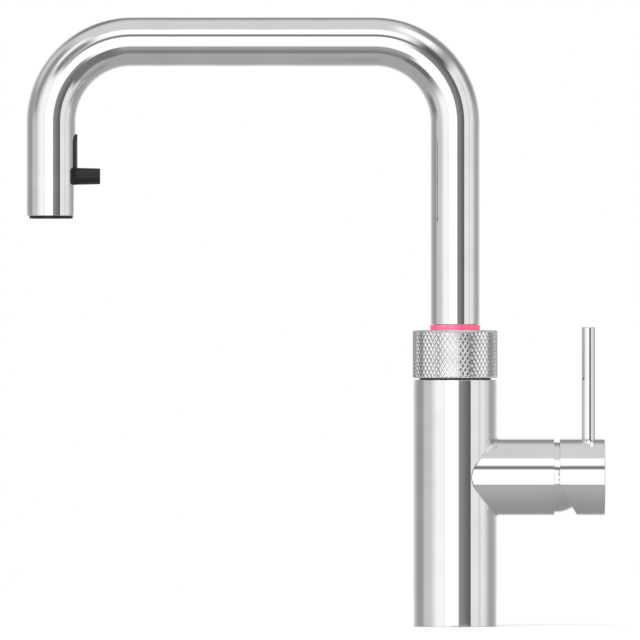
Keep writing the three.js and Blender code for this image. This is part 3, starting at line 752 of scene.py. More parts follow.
def braided_hose():
    """Grey braid. The strands keep their pitch along an upright hose as it is drawn out, and turn
    with it as the spout swivels."""
    finish = Finish("braided_hose", Metallic=0.3)
    tree = finish.tree
    facing = directions(tree, node(tree, "TexCoord").outputs["Normal"])
    angle = calc(tree, "ARCTAN2", facing["Y"], facing["X"])
    around = calc(tree, "MULTIPLY", angle, BRAID_STRANDS / math.tau)
    along = calc(tree, "DIVIDE", directions(tree, object_places(tree))["Z"], BRAID_PITCH)
    strand = finish.group(BRAID, Around=around, Along=along)["Height"]
    finish.tint(strand, (0.05, 0.05, 0.055), (0.42, 0.43, 0.45))
    finish.gloss(strand, 0, 1, 0.7, 0.35)
    finish.bump(strand, BRAID_DEPTH)
    return finish.material


# The lit cover: how many lamps stand behind it, how far round they start, its colours between the
# lamps and before them, where the lighter colour is painted glow, and the light that it gives there
LAMPS = 3
LAMPS_START = 1.9
COVER_COLOURS_WITH_PAINTED_GLOW = (0.45, 0.05, 0.10), (0.50, 0.08, 0.14)
COVER_LIGHT = (0.61, 0.085, 0.18), (0.56, 0.18, 0.34)


def lit_cover():
    """Clear pink cover that glows over the lamps behind it. Its colour is also painted lighter over the
    lamps, as painted glow.
    """
    finish = Finish("lit_cover", Metallic=0.0, Coat_Weight=0.3, Emission_Strength=1.0)
    tree = finish.tree
    places = directions(tree, object_places(tree))
    angle = calc(tree, "ADD", calc(tree, "ARCTAN2", places["Y"], places["X"]), LAMPS_START)
    near_lamp = spread(tree, calc(tree, "COSINE", calc(tree, "MULTIPLY", angle, LAMPS)), -0.2, 1, 0, 1)
    cloud = noise(tree, object_places(tree), 0.25)
    glow = calc(tree, "MULTIPLY", near_lamp, spread(tree, cloud, 0.3, 0.6, 0.6, 1))
    # Painted glow: the base colour is lighter over the lamps, where the cover is lit
    finish.tint(glow, *COVER_COLOURS_WITH_PAINTED_GLOW)
    finish.feed("Emission Color", shade(tree, glow, *COVER_LIGHT))
    finish.gloss(cloud, 0.3, 0.7, 0.25, 0.4)
    return finish.material


def circuit_lacquer():
    """Green lacquer with copper tracks that show through as paler rings."""
    finish = Finish("circuit_lacquer", Metallic=0.0, Roughness=0.3)
    tree = finish.tree
    places = directions(tree, object_places(tree))
    squares = [calc(tree, "POWER", places[direction], 2) for direction in ("X", "Y")]
    radius = calc(tree, "SQRT", calc(tree, "ADD", *squares))
    track = spread(tree, calc(tree, "PINGPONG", radius, 0.5), 0.2, 0.3, 0, 1)
    finish.tint(track, (0.015, 0.12, 0.05), (0.05, 0.3, 0.14))
    finish.bump(track, 0.03)
    return finish.material


# A finish has its darker and its lighter colour, its roughness where it is smooth and where it is
# rough, and then the size of its smears, the lines in a millimetre, or the size and depth of its grain.
FINISHES = {
    "chrome": metal("polished_chrome", (0.90, 0.905, 0.915), (0.955, 0.96, 0.965), 0.025, 0.06),
    "brass": turned_metal("machined_brass", (0.55, 0.37, 0.14), (0.86, 0.66, 0.34), 0.22, 0.4),
    "copper": turned_metal("drawn_copper", (0.5, 0.22, 0.12), (0.85, 0.5, 0.35), 0.25, 0.45, 1.5),
    "steel": turned_metal("machined_steel", (0.38, 0.385, 0.4), (0.66, 0.67, 0.69), 0.2, 0.38, 9),
    "hose": braided_hose(),
    "rubber": plastic("seal_rubber", (0.014, 0.014, 0.015), (0.03, 0.03, 0.032), 0.6, 0.85, 0.4, 0.03),
    "black_plastic": plastic("black_plastic", (0.010, 0.010, 0.011), (0.019, 0.019, 0.020), 0.36, 0.5),
    "white_plastic": plastic(
        "white_plastic", (0.72, 0.71, 0.67), (0.8, 0.79, 0.76), 0.35, 0.5, 0.3, 0.008
    ),
    "ceramic": plastic("lapped_ceramic", (0.84, 0.83, 0.8), (0.9, 0.89, 0.86), 0.08, 0.2, 0.05, 0.001),
    "circuit_board": circuit_lacquer(),
    "light": lit_cover(),
}
KNURLED_CHROME = metal("knurled_chrome", (0.86, 0.865, 0.875), (0.94, 0.945, 0.95), 0.11, 0.18, 9)


# ---------------------------------------------------------------- column and side housing
def fillet_collar():
    """The hollow corner between the column and the side housing: the path of a small ball that
    rolls on both, closed inside the metal."""
    form = Form()
    ball = FILLET_RADIUS
    around = housing_radius + ball - FILLET_SINK
    out = body.radius + ball - FILLET_SINK
    rows = []
    for k in range(DOME_SIDES):
        angle = math.tau * k / DOME_SIDES
        y, rise = around * math.sin(angle), around * math.cos(angle)
        centre = Vector((math.sqrt(out * out - y * y), y, valve_height + rise))
        to_column = Vector((-centre.x, -centre.y, 0)).normalized()
        to_housing = Vector((0, -y, -rise)).normalized()
        corner = to_column.angle(to_housing)
        row = []
        for step in range(FILLET_STEPS + 1):
            share = step / FILLET_STEPS
            first = math.sin((1 - share) * corner) / math.sin(corner)
            second = math.sin(share * corner) / math.sin(corner)
            towards = to_column * first + to_housing * second
            row.append((form.point(centre + towards * ball), -towards))
        depth = ball / math.cos(corner / 2) + OVERSHOOT
        row.append((form.point(centre + (to_column + to_housing).normalized() * depth), None))
        rows.append(row)
    for k, here in enumerate(rows):
        there = rows[(k + 1) % len(rows)]
        for step, start in enumerate(here):
            n = (step + 1) % len(here)
            four = [start, here[n], there[n], there[step]]
            normals = [normal for _, normal in four]
            form.face([place for place, _ in four], None if None in normals else normals)
    return form


def column_and_housing():
    side = towards_lever(valve_height)
    column = rod(body.radius, 0, body.top, upright(), BODY_SIDES, COLUMN_EDGES)
    housing = rod(housing_radius, 0, housing_end, side, BODY_SIDES, HOUSING_EDGES)
    bore = drill(column_bore, -OVERSHOOT, body.top + OVERSHOOT, upright(), PIPE_SIDES)
    mouth, end = housing_end - HOUSING_MOUTH_DEPTH, housing_end + OVERSHOOT
    narrow = [(0, 0), (HOUSING_BORE, 0), (HOUSING_BORE, mouth)]
    wide = [(HOUSING_MOUTH, mouth), (HOUSING_MOUTH, end), (0, end)]
    side_bore = lathe(narrow + wide, side, PIPE_SIDES)
    form = carved(column, join=[housing, fillet_collar()], cut=[bore, side_bore])
    piece("column_casting", form, "tap_base", "chrome", "tap_body")


def dome():
    """A tube that closes into a ball. Its straight part runs on a little and eases into the ball."""
    span = Span("dome_cover")
    inner = span.radius - DOME_WALL
    pivot = Vector((0, PIVOT_REACH))
    wall = []
    skin = []
    for step in range(DOME_STEPS + 1):
        angle = (math.pi / 2 - DOME_OPENING) * step / DOME_STEPS
        out = Vector((math.cos(angle), math.sin(angle)))
        share = min(1, angle / DOME_BLEND)
        late = DOME_LEAD * (1 - share * share * (3 - 2 * share))
        easing = 6 * DOME_LEAD * share * (1 - share) / DOME_BLEND
        normal = (out * span.radius - Vector((easing, 0))).normalized()
        wall.append(out)
        skin.append((pivot + out * span.radius + Vector((0, late)), normal))
    edges = rounded([(inner, span.low.x), (span.radius, span.low.x), tuple(skin[0][0])], False)
    edges += [(*start, *end) for start, end in zip(skin, skin[1:])]
    across = Vector((-wall[-1].y, wall[-1].x))
    edges.append((pivot + wall[-1] * span.radius, across, pivot + wall[-1] * inner, across))
    wall.reverse()
    edges += [(pivot + a * inner, -a, pivot + b * inner, -b) for a, b in zip(wall, wall[1:])]
    inward = Vector((-1, 0))
    edges.append((pivot + wall[-1] * inner, inward, Vector((inner, span.low.x)), inward))
    form = turned(edges, towards_lever(valve_height), DOME_SIDES)
    piece("pivot_dome", form, "tap_base", "chrome", "dome_cover")


# ---------------------------------------------------------------- foot and fixing
def plain_ring(name, node_name, slot, bore, edge, axis, sides=RING_SIDES):
    """A gasket, washer or pipe that fills its node's box."""
    span = Span(node_name)
    form = ring(bore, span.radius, span.bottom, span.top, axis, sides, edge)
    piece(name, form, "tap_base", slot, node_name)


def foot():
    plug = Span("base_plug")
    gasket = Span("base_gasket")
    shank = Span("mounting_shank")
    hole = shank.radius + CLEARANCE
    seat = shank.top + CLEARANCE
    groove_inner = gasket.radius - FOOT_GROOVE_WIDTH
    groove_outer = gasket.radius + CLEARANCE
    groove_top = gasket.top + CLEARANCE
    corners = [
        (hole, 0, EASED_EDGE), (groove_inner, 0),
        (groove_inner, groove_top), (groove_outer, groove_top),
        (groove_outer, 0), (plug.radius, 0),
        (plug.radius, plug.top, SOFT_EDGE), (SHANK_BORE, plug.top, EASED_EDGE),
        (SHANK_BORE, seat), (hole, seat),
    ]
    form = lathe(corners, upright(), edge=SHARP_EDGE)
    piece("foot_plug", form, "tap_base", "brass", "base_plug")
    gasket_bore = gasket.radius - GASKET_WIDTH
    plain_ring("foot_gasket", "base_gasket", "rubber", gasket_bore, GASKET_EDGE, upright())
    plain_ring("soft_washer", "rubber_washer", "rubber", hole, WASHER_EDGE, upright())
    plain_ring("hard_washer", "clamp_washer", "steel", hole, PLAIN_EDGE, upright())

    nut = Span("mounting_nut")
    blank = ring(hole, nut.radius, nut.bottom, nut.top, upright(), edge=NUT_EDGE)
    flats = hexagon(nut.high.x - nut.low.x)
    prism = bar(flats, upright(), nut.bottom - OVERSHOOT, nut.height + 2 * OVERSHOOT)
    piece("clamp_nut", carved(blank, keep=[prism]), "tap_base", "brass", "mounting_nut")


def threaded_shank():
    """The shank with a helical thread on its lower end."""
    shank = Span("mounting_shank")
    thread_top = shank.bottom + THREAD_LENGTH + THREAD_RUN_OUT
    row_count = int((thread_top - shank.bottom) / THREAD_ROW)
    rows = [shank.bottom + THREAD_ROW * k for k in range(row_count + 1)]
    blank_radius = shank.radius - SEAM
    corners = [
        (SHANK_BORE, shank.bottom), (blank_radius, shank.bottom),
        (blank_radius, thread_top), (shank.radius, thread_top),
        (shank.radius, shank.top, PLAIN_EDGE), (SHANK_BORE, shank.top, PLAIN_EDGE),
    ]
    form = lathe(corners, upright(), SHANK_SIDES, stations=rows)
    threaded = set()
    for index, place in enumerate(form.points):
        radius = math.hypot(place.x, place.y)
        if radius < blank_radius - SEAM or place.z > thread_top - SEAM:
            continue
        turn = math.atan2(place.y, place.x) / math.tau
        phase = ((place.z - shank.bottom) / THREAD_PITCH - turn) % 1
        run_out = min(1, (thread_top - place.z) / THREAD_PITCH)
        groove = min(1, max(0, THREAD_ROOT - THREAD_FLANK * abs(phase - 0.5)))
        place.xy *= (radius - THREAD_DEPTH * run_out * groove) / radius
        threaded.add(index)
    for index, corners in enumerate(form.faces):
        if threaded.intersection(corners):
            form.normals[index] = None
    piece("threaded_shank", form, "tap_base", "steel", "mounting_shank")


def tails():
    for name in ("hot", "cold", "boiling", "mixed"):
        middle = Span(name + "_tail").middle
        axis = upright(middle.x, middle.y)
        plain_ring(name + "_pipe", name + "_tail", "copper", PIPE_BORE, PIPE_EDGE, axis, ROD_SIDES)
    plain_ring("lower_hose", "column_hose", "hose", HOSE_BORE, SOFT_EDGE, upright(), HOSE_SIDES)


# ---------------------------------------------------------------- neck, light and control ring
def neck():
    span = Span("neck_sleeve")
    flange_top = body.top - CLEARANCE
    flange_bottom = flange_top - NECK_FLANGE
    spigot_top = flange_top + SPIGOT_RISE
    corners = [
        (NECK_BORE, span.bottom), (NECK_RADIUS, span.bottom),
        (NECK_RADIUS, flange_bottom, SOFT_EDGE), (span.radius, flange_bottom, SOFT_EDGE),
        (span.radius, flange_top), (SPIGOT_RADIUS, flange_top, SHARP_EDGE),
        (SPIGOT_RADIUS, spigot_top, EASED_EDGE), (NECK_RADIUS, spigot_top),
        (NECK_RADIUS, span.top), (NECK_BORE, span.top),
    ]
    form = lathe(corners, upright(), edge=PLAIN_EDGE)
    piece("neck_spigot", form, "tap_base", "black_plastic", "neck_sleeve")


def light_cover():
    span = Span("light_ring")
    flange_top = span.bottom + COVER_FLANGE
    corners = [
        (COVER_BORE, span.bottom), (span.radius, span.bottom),
        (span.radius, flange_top), (COVER_RADIUS, flange_top),
        (COVER_RADIUS, span.top, COVER_EDGE), (COVER_BORE, span.top, COVER_EDGE),
    ]
    form = lathe(corners, upright(), PIPE_SIDES, SHARP_EDGE)
    piece("light_cover", form, "tap_base", "light", "light_ring")


def knurl_offset(across, upward):
    """How far a place is from the nearest groove, and which way that groove winds."""
    offsets = [((across + side * upward + 0.5) % 1 - 0.5, side) for side in (-1, 1)]
    return min(offsets, key=lambda pair: abs(pair[0]))


def knurl_normal(across, upward, out, pitch, width):
    """The true normal of a pyramid's flat top or of the side that holds this place."""
    normal = out.copy()
    offset, side = knurl_offset(across, upward)
    if abs(offset) < KNURL_SLOPE:
        steepness = math.copysign(KNURL_DEPTH / KNURL_SLOPE, offset)
        normal -= Vector((-out.y, out.x, 0)) * (steepness / width)
        normal.z -= side * steepness / pitch
    return normal.normalized()


def control_ring():
    """Two sets of helical grooves leave rows of small flat-topped pyramids. The faces between
    them are split along the grooves, so that every pyramid has straight edges."""
    span = Span("knurled_ring")
    foot = span.bottom + KNURL_MARGIN
    pitch = (span.height - 2 * KNURL_MARGIN) / KNURL_ROWS
    width = math.tau * span.radius / KNURL_COUNT
    steps = KNURL_STEPS
    # The rows stop part of the way round the two rounded edges
    low, high = span.bottom + RING_FOOT_EDGE / 2, span.top - RING_TOP_EDGE / 3
    rows = [foot + pitch * k / steps for k in range(KNURL_ROWS * steps + 1)]
    flange = span.top - RING_TOP_FLANGE
    step_height = span.bottom + RING_FOOT_DEPTH
    corners = [
        (RING_FOOT_BORE, span.bottom), (span.radius, span.bottom, RING_FOOT_EDGE),
        (span.radius, span.top, RING_TOP_EDGE), (RING_TOP_BORE, span.top, PLAIN_EDGE),
        (RING_TOP_BORE, flange), (RING_BORE, flange),
        (RING_BORE, step_height), (RING_FOOT_BORE, step_height),
    ]
    rows = [row for row in rows if low < row < high]
    blank = lathe(corners, upright(), KNURL_COUNT * steps, SHARP_EDGE, rows)

    def knurl_place(place):
        """Counted in grooves: how far round the ring and how far up it."""
        return math.atan2(place.y, place.x) * KNURL_COUNT / math.tau, (place.z - foot) / pitch

    grid = {}
    worn = set()
    for index, place in enumerate(blank.points):
        radius = math.hypot(place.x, place.y)
        if radius < span.radius - RING_TOP_EDGE - SEAM:
            continue
        across, upward = knurl_place(place)
        groove = 1 - min(1, abs(knurl_offset(across, upward)[0]) / KNURL_SLOPE)
        cut_radius = span.radius - KNURL_DEPTH * groove
        if cut_radius < radius:
            place.xy *= cut_radius / radius
        worn.add(index)
        if abs(upward * steps - round(upward * steps)) < SEAM and radius > span.radius - SEAM:
            grid[index] = (across, upward)
    form = Form()
    form.points = blank.points
    for face, normals in zip(blank.faces, blank.normals):
        if not all(corner in grid for corner in face):
            form.face(face, None if worn.issuperset(face) else normals)
            continue
        column, row = (round(value * steps) for value in grid[face[0]])
        turn = (column + row) % 2
        a, b, c, d = face[turn:] + face[:turn]
        for triangle in ((a, b, c), (a, c, d)):
            middle = sum((form.points[corner] for corner in triangle), Vector()) / 3
            spot = knurl_place(middle)
            outs = [Vector((*form.points[corner].xy, 0)).normalized() for corner in triangle]
            form.face(triangle, [knurl_normal(*spot, out, pitch, width) for out in outs])
    piece("knurled_grip", form, "control_ring", "chrome", "knurled_ring", finish=KNURLED_CHROME)


def return_spring():
    """The spring under the ring. Its foot stands on the neck."""
    span = Span("press_spring")
    foot, head = span.bottom + SPRING_WIRE, span.top - SPRING_WIRE
    line = CoilLine(span.radius - SPRING_WIRE, foot, head, SPRING_TURNS)
    stations = [line.length * k / SPRING_STATIONS for k in range(1, SPRING_STATIONS)]
    form = rod(SPRING_WIRE, 0, line.length, line, WIRE_SIDES, (FINE_EDGE, FINE_EDGE), stations)
    thing = piece("return_spring", form, None, "steel", "press_spring")
    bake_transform(thing)


# ---------------------------------------------------------------- handle
def hexagon(across_flats):
    corner = across_flats / math.sqrt(3)
    angles = [math.pi / 6 + math.pi / 3 * k for k in range(6)]
    return [(corner * math.cos(angle), corner * math.sin(angle)) for angle in angles]


def handle_shell():
    """The handle's round shell: hollow round the dome, open below, drilled for its lever, its
    stem and its screw."""
    side = towards_lever(valve_height)
    shell = rod(cap.radius, cap.low.x, cap.high.x, side, BODY_SIDES, CAP_EDGES)
    angles = [math.pi * k / CAP_HOLLOW_STEPS for k in range(CAP_HOLLOW_STEPS + 1)]
    arc = [Vector((math.sin(angle), -math.cos(angle))) for angle in angles]
    arc[0].x = arc[-1].x = 0
    pivot = Vector((0, PIVOT_REACH))
    pairs = [(pivot + a * CAP_HOLLOW, a, pivot + b * CAP_HOLLOW, b) for a, b in zip(arc, arc[1:])]
    hollow = turned(pairs, side, PIPE_SIDES)
    slant = (math.sin(CAP_RELIEF), 0, -math.cos(CAP_RELIEF))
    relief_axis = Axis((PIVOT_REACH, 0, valve_height), (0, 1, 0), slant)
    far = 4 * cap.radius
    square = [(-far / 2, 0), (far / 2, 0), (far / 2, far), (-far / 2, far)]
    relief = bar(square, relief_axis, 0, far)
    lever = Span("lever_rod")
    floor_height, top = lever.bottom - LEVER_HOLE_CLEARANCE, lever.bottom + cap.radius
    hole = lever.radius + LEVER_HOLE_CLEARANCE
    lever_hole = drill(hole, floor_height, top, upright(lever.middle.x), HOSE_SIDES)
    grub = Span("grub_screw")
    hole = grub.radius + GRUB_HOLE_CLEARANCE
    grub_hole = drill(hole, cap.low.z - OVERSHOOT, grub.top, upright(grub.middle.x), THIN_SIDES)
    stem_hole = drill(STEM_HOLE, PIVOT_REACH, STEM_HOLE_END, side, THIN_SIDES)
    form = carved(shell, cut=[hollow, relief, lever_hole, grub_hole, stem_hole])
    piece("handle_shell", form, "handle", "chrome", "handle_cap")


def lever_and_screw():
    lever = Span("lever_rod")
    axis = upright(lever.middle.x)
    form = rod(lever.radius, lever.bottom, lever.top, axis, RING_SIDES, LEVER_EDGES)
    piece("lever_bar", form, "handle", "chrome", "lever_rod")
    grub = Span("grub_screw")
    axis = upright(grub.middle.x)
    blank = rod(grub.radius, grub.bottom, grub.top, axis)
    key = bar(hexagon(GRUB_KEY_WIDTH), axis, grub.bottom - OVERSHOOT, GRUB_KEY_DEPTH + OVERSHOOT)
    piece("clamp_screw", carved(blank, cut=[key]), "handle", "steel", "grub_screw")


# ---------------------------------------------------------------- spout
def round_topped(half_width, bottom, top, lead_in=0):
    """Outline of the slot, or of the tongue in it: straight sides up to a round top."""
    angles = [math.pi * k / SLOT_STEPS for k in range(SLOT_STEPS + 1)]
    arc = [(half_width * math.cos(a), top - half_width + half_width * math.sin(a)) for a in angles]
    foot = bottom + 2 * lead_in
    sides = [(-half_width - lead_in, bottom), (half_width + lead_in, bottom)]
    if lead_in:
        return sides + [(half_width, foot)] + arc + [(-half_width, foot)]
    return sides + arc


def spout_pipe():
    line = SpoutLine()
    stations = line.stations(BEND_STEPS)
    pipe = ring(
        spout_bore, spout.radius, spout.bottom, line.end, line, PIPE_SIDES, SPOUT_EDGE, stations
    )
    outline = round_topped(SLOT_HALF_WIDTH, -SLOT_LEAD_IN, SLOT_HEIGHT, SLOT_LEAD_IN)
    slot = bar(outline, towards_lever(outlet_height), -reach, 2 * spout.radius)
    piece("bent_pipe", carved(pipe, cut=[slot]), "spout", "chrome", "spout_tube")


def boiling_pipe():
    """The thin pipe that runs beside the hose and ends in the nozzle's face."""
    line = SpoutLine(BOILING_OFFSET)
    span = Span("boiling_tube")
    end = line.end - BOILING_RECESS
    corners = [
        (BOILING_BORE, span.bottom, FINE_EDGE), (span.radius, span.bottom),
        (span.radius, end), (BOILING_BORE, end, FINE_EDGE),
    ]
    form = lathe(corners, line, THIN_SIDES, SHARP_EDGE, line.stations(BEND_STEPS))
    piece("spout_boiling_pipe", form, "spout", "copper", "boiling_tube")


def drawn_hose():
    """The end of the hose. It has many rings, so that it can follow the nozzle out of the leg."""
    span = Span("pull_hose_run")
    rings = [span.bottom + span.height * k / HOSE_RINGS for k in range(1, HOSE_RINGS)]
    form = rod(span.radius, span.bottom, span.top, upright(-reach), ROD_SIDES, (0, 0), rings)
    thing = piece("drawn_hose", form, None, "hose", "pull_hose_run")
    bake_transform(thing)


# ---------------------------------------------------------------- pull-out nozzle
def nozzle_shell():
    axis = upright(-reach)
    low, high = nozzle.bottom - OVERSHOOT, nozzle.top + OVERSHOOT
    blank = rod(nozzle.radius, nozzle.bottom, nozzle.top, axis, PIPE_SIDES, NOZZLE_EDGES)
    spray_top = Span("spray_insert").top + CLEARANCE
    ferrule_bottom = Span("hose_ferrule").bottom - CLEARANCE
    waterway = [
        (0, low), (SPRAY_HOLE + NOZZLE_FACE_CHAMFER, low),
        (SPRAY_HOLE + NOZZLE_FACE_CHAMFER, nozzle.bottom),
        (SPRAY_HOLE, nozzle.bottom + NOZZLE_FACE_CHAMFER), (SPRAY_HOLE, spray_top),
        (WATERWAY, spray_top), (WATERWAY, ferrule_bottom),
        (SPRAY_HOLE, ferrule_bottom), (SPRAY_HOLE, high),
        (0, high),
    ]
    bore = lathe(waterway, axis, HOSE_SIDES)
    hole = Span("boiling_tube").radius + CLEARANCE
    boiling_hole = drill(hole, low, high, upright(-reach - BOILING_OFFSET), ROD_SIDES)
    form = carved(blank, cut=[bore, boiling_hole])
    piece("nozzle_shell", form, "nozzle", "black_plastic", "nozzle_body")


def rounded_plate(half_width, bottom, top, rounding):
    """Outline of a plate with rounded corners."""
    outline = []
    corners = [(1, bottom, -90), (1, top, 0), (-1, top, 90), (-1, bottom, 180)]
    for side, height, first in corners:
        inward = rounding if height == bottom else -rounding
        for step in range(SADDLE_CORNER_STEPS + 1):
            angle = math.radians(first + 90 * step / SADDLE_CORNER_STEPS)
            x = side * (half_width - rounding) + rounding * math.cos(angle)
            outline.append((x, height + inward + rounding * math.sin(angle)))
    return outline


def pull_knob():
    """One moulding: a saddle that wraps the pipe, a tongue that fills the slot, and the knob."""
    span = Span("pull_knob")
    saddle_top = span.bottom + 2 * KNOB_BASE
    saddle_inner = spout.radius + SADDLE_GAP
    saddle_outer = saddle_inner + SADDLE_THICKNESS
    half_width = saddle_outer * math.sin(SADDLE_HALF_ANGLE)
    plate = rounded_plate(half_width, span.bottom, saddle_top, SADDLE_CORNER)
    slip = round_topped(TONGUE_HALF_WIDTH, span.bottom + TONGUE_LIFT, span.top)
    wraps = []
    for inner, outer, top, outline in (
        (saddle_inner, saddle_outer, saddle_top, plate),
        (TONGUE_INNER, TONGUE_OUTER, span.top, slip),
    ):
        low, high = span.bottom - SADDLE_SPARE, top + SADDLE_SPARE
        skin = ring(inner, outer, low, high, upright(-reach), DOME_SIDES, 0)
        window = bar(outline, towards_lever(0), -reach, 2 * spout.radius)
        wraps.append(carved(skin, keep=[window]))
    saddle, tongue = wraps
    tip = span.high.x + reach
    outside = [(0, spout.radius), (KNOB_BASE, spout.radius), (KNOB_TIP, tip, KNOB_EDGE), (0, tip)]
    knob = lathe(outside, Axis((-reach, 0, span.bottom + KNOB_BASE), (0, 1, 0), (0, 0, 1)))
    form = carved(saddle, join=[tongue, knob])
    piece("slide_knob", form, "nozzle", "black_plastic", "pull_knob")


def spray_face():
    span = Span("spray_insert")
    dish = span.bottom + SPRAY_DISH
    corners = [
        (0, dish), (SPRAY_DISH_RADIUS, dish),
        (SPRAY_DISH_RADIUS + SPRAY_DISH, span.bottom), (span.radius, span.bottom, PLAIN_EDGE),
        (span.radius, span.top), (0, span.top),
    ]
    form = lathe(corners, upright(-reach), HOSE_SIDES, SHARP_EDGE)
    low, high = span.bottom - OVERSHOOT, span.top + OVERSHOOT
    holes = []
    for hole in range(SPRAY_NOZZLES):
        angle = math.tau * hole / SPRAY_NOZZLES
        axis = upright(-reach + SPRAY_CIRCLE * math.cos(angle), SPRAY_CIRCLE * math.sin(angle))
        holes.append(drill(SPRAY_NOZZLE, low, high, axis, SPRAY_SIDES))
    piece("spray_face", carved(form, cut=holes), "nozzle", "white_plastic", "spray_insert")


def ferrule():
    """The crimped end fitting of the hose."""
    span = Span("hose_ferrule")
    shank = Span("pull_hose_run").radius
    shoulder = nozzle.top + CLEARANCE
    corners = [(0, span.bottom), (shank, span.bottom, PLAIN_EDGE), (shank, shoulder, FINE_EDGE)]
    corners.append((span.radius, shoulder, EASED_EDGE))
    for crimp in range(CRIMPS):
        foot = shoulder + CRIMP_START + crimp * CRIMP_PITCH
        corners += [(span.radius - depth, foot + rise, CRIMP_EDGE) for rise, depth in CRIMP_GROOVE]
    corners += [(span.radius, span.top, EASED_EDGE), (0, span.top)]
    form = lathe(corners, upright(-reach), HOSE_SIDES)
    piece("crimped_ferrule", form, "nozzle", "brass", "hose_ferrule")


# ---------------------------------------------------------------- pieces
column_and_housing()
dome()
foot()
threaded_shank()
tails()
neck()
light_cover()
control_ring()
return_spring()
handle_shell()
lever_and_screw()
spout_pipe()
boiling_pipe()
drawn_hose()
nozzle_shell()
pull_knob()
spray_face()
ferrule()

CARRIED = {
    "brass": ["valve_manifold", "cartridge_nut", "handle_stem", "spout_foot"],
    "rubber": ["oring_lower", "oring_upper"],
    "steel": ["ring_clip", "ring_magnet", "pivot_pin", "swivel_circlip"],
    "hose": ["spout_hose"],
    "white_plastic": ["lower_bush", "upper_bush", "press_sleeve", "cartridge_body", "cartridge_rotor"],
    "ceramic": ["ceramic_disc"],
    "circuit_board": ["led_board"],
}
for slot_name, carried in CARRIED.items():
    for node_name in carried:
        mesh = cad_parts[node_name].data
        mesh.materials.clear()
        mesh.materials.append(FINISHES[slot_name])

# ---------------------------------------------------------------- studio
CAMERA_DISTANCE = 10.667
CAMERA_SIDE = -0.08106
CAMERA_HEIGHT = 0.1838
CAMERA_RANGE = 100
LENS = 1000
SENSOR = 36
FLOOR_RADIUS = 1.5
FLOOR_DROP = 0.0001
FLOOR_SIDES = 96
FLOOR_GREYS = (0.84, 0.84, 0.84), (0.86, 0.86, 0.86)
FLOOR_GLOW = 0.3
ROOM_LIGHT = 0.75
LAMP_PLACE = (-0.5, -1.3, 2.2)
LAMP_SIZE = 1.6
LAMP_POWER = 20
WHITE_LIGHT = (1, 1, 1, 1)

# What the polished metal reflects: cards and lights round the camera in a grey room. A card has its
# middle and half width round the circle, in degrees from the right; how soft those two ends are; how
# far from the camera it starts and ends, in degrees; how soft those are; and its grey. A later card
# stands before an earlier one.
ROOM_GREY = 0.65
CARDS = {
    "far end": (0, 200, 10, 148, 240, 22, 1, 0.90),
    "tent": (192, 138, 10, -40, 22.5, 1, 2, 1.06),
    "tent left side": (190, 46, 7, 8, 36, 2, 3, 1.06),
    "tent front": (0, 200, 10, -40, 10, 1, 3, 1.06),
    "right wall": (0, 37, 5, 43.5, 98, 1, 15, 0.91),
    "right wall seam": (-3, 33, 5, 68, 74, 4, 4, 0.82),
    "right screen": (3, 61, 10, 10, 43.5, 3, 1, 0.54),
    "right screen edge": (9, 51, 8, 28, 43.5, 16, 1, 0.37),
    "ceiling": (97, 33, 12, 33, 122, 3, 14, 0.83),
    "ceiling light": (90, 24, 10, 36, 58, 4, 4, 1.06),
    "ceiling line": (92, 32, 6, 26.5, 32, 2, 3, 0.43),
    "ceiling back": (86, 26, 10, 132, 149, 16, 6, 0.50),
    "left wall": (176, 30, 10, 30, 97, 4, 8, 0.79),
    "left screen": (174, 30, 8, 30, 62, 5, 14, 0.985),
    "left back": (172, 14, 8, 102, 126, 6, 10, 0.60),
    "upper right flag": (48, 10, 5, 36, 58, 6, 8, 0.36),
    "upper right strip": (63, 13, 7, 64, 96, 10, 10, 1.04),
    "upper right back": (40, 26, 10, 102, 134, 12, 10, 0.54),
    "upper left line": (133, 15, 6, 38, 56, 4, 5, 0.53),
    "upper left strip": (131, 13, 6, 61, 73, 4, 5, 1.0),
    "upper left flag": (154, 20, 8, 74, 96, 10, 8, 0.56),
    "upper left back": (144, 14, 8, 100, 124, 7, 8, 0.80),
    "upper left far": (114, 14, 10, 118, 142, 16, 6, 0.46),
    "lower left flag": (231, 15, 6, 40, 62, 4, 5, 0.43),
    "lower left back": (196, 10, 6, 92, 124, 8, 6, 0.50),
    "floor strip": (265, 20, 6, 40, 57, 14, 4, 0.49),
    "lower right flag": (304, 24, 6, 24, 64, 3, 5, 0.46),
    "lower right back": (332, 14, 6, 78, 110, 8, 10, 0.60),
}

# A grey card in the table under the housing, which only the polished metal shows. It fades out to
# its left, right and far sides.
TABLE_CARD_X = (-100, 170)
TABLE_CARD_Y = (-235, 165)
TABLE_CARD_HEIGHT = -3
TABLE_CARD_GREY = (0.68, 0.58)
TABLE_CARD_FADE = (-126, 4)
TABLE_CARD_LEFT = (-100, -10)
TABLE_CARD_RIGHT = (170, 98)
TABLE_CARD_FAR = (165, 75)


def linear(grey):
    """The light that shows as a grey of this strength."""
    return ((grey + 0.055) / 1.055) ** 2.4


def mirror_rays(tree, path):
    """1 for a ray that shows in polished metal or through a clear piece."""
    return calc(tree, "MAXIMUM", path["Is Glossy Ray"], path["Is Transmission Ray"])


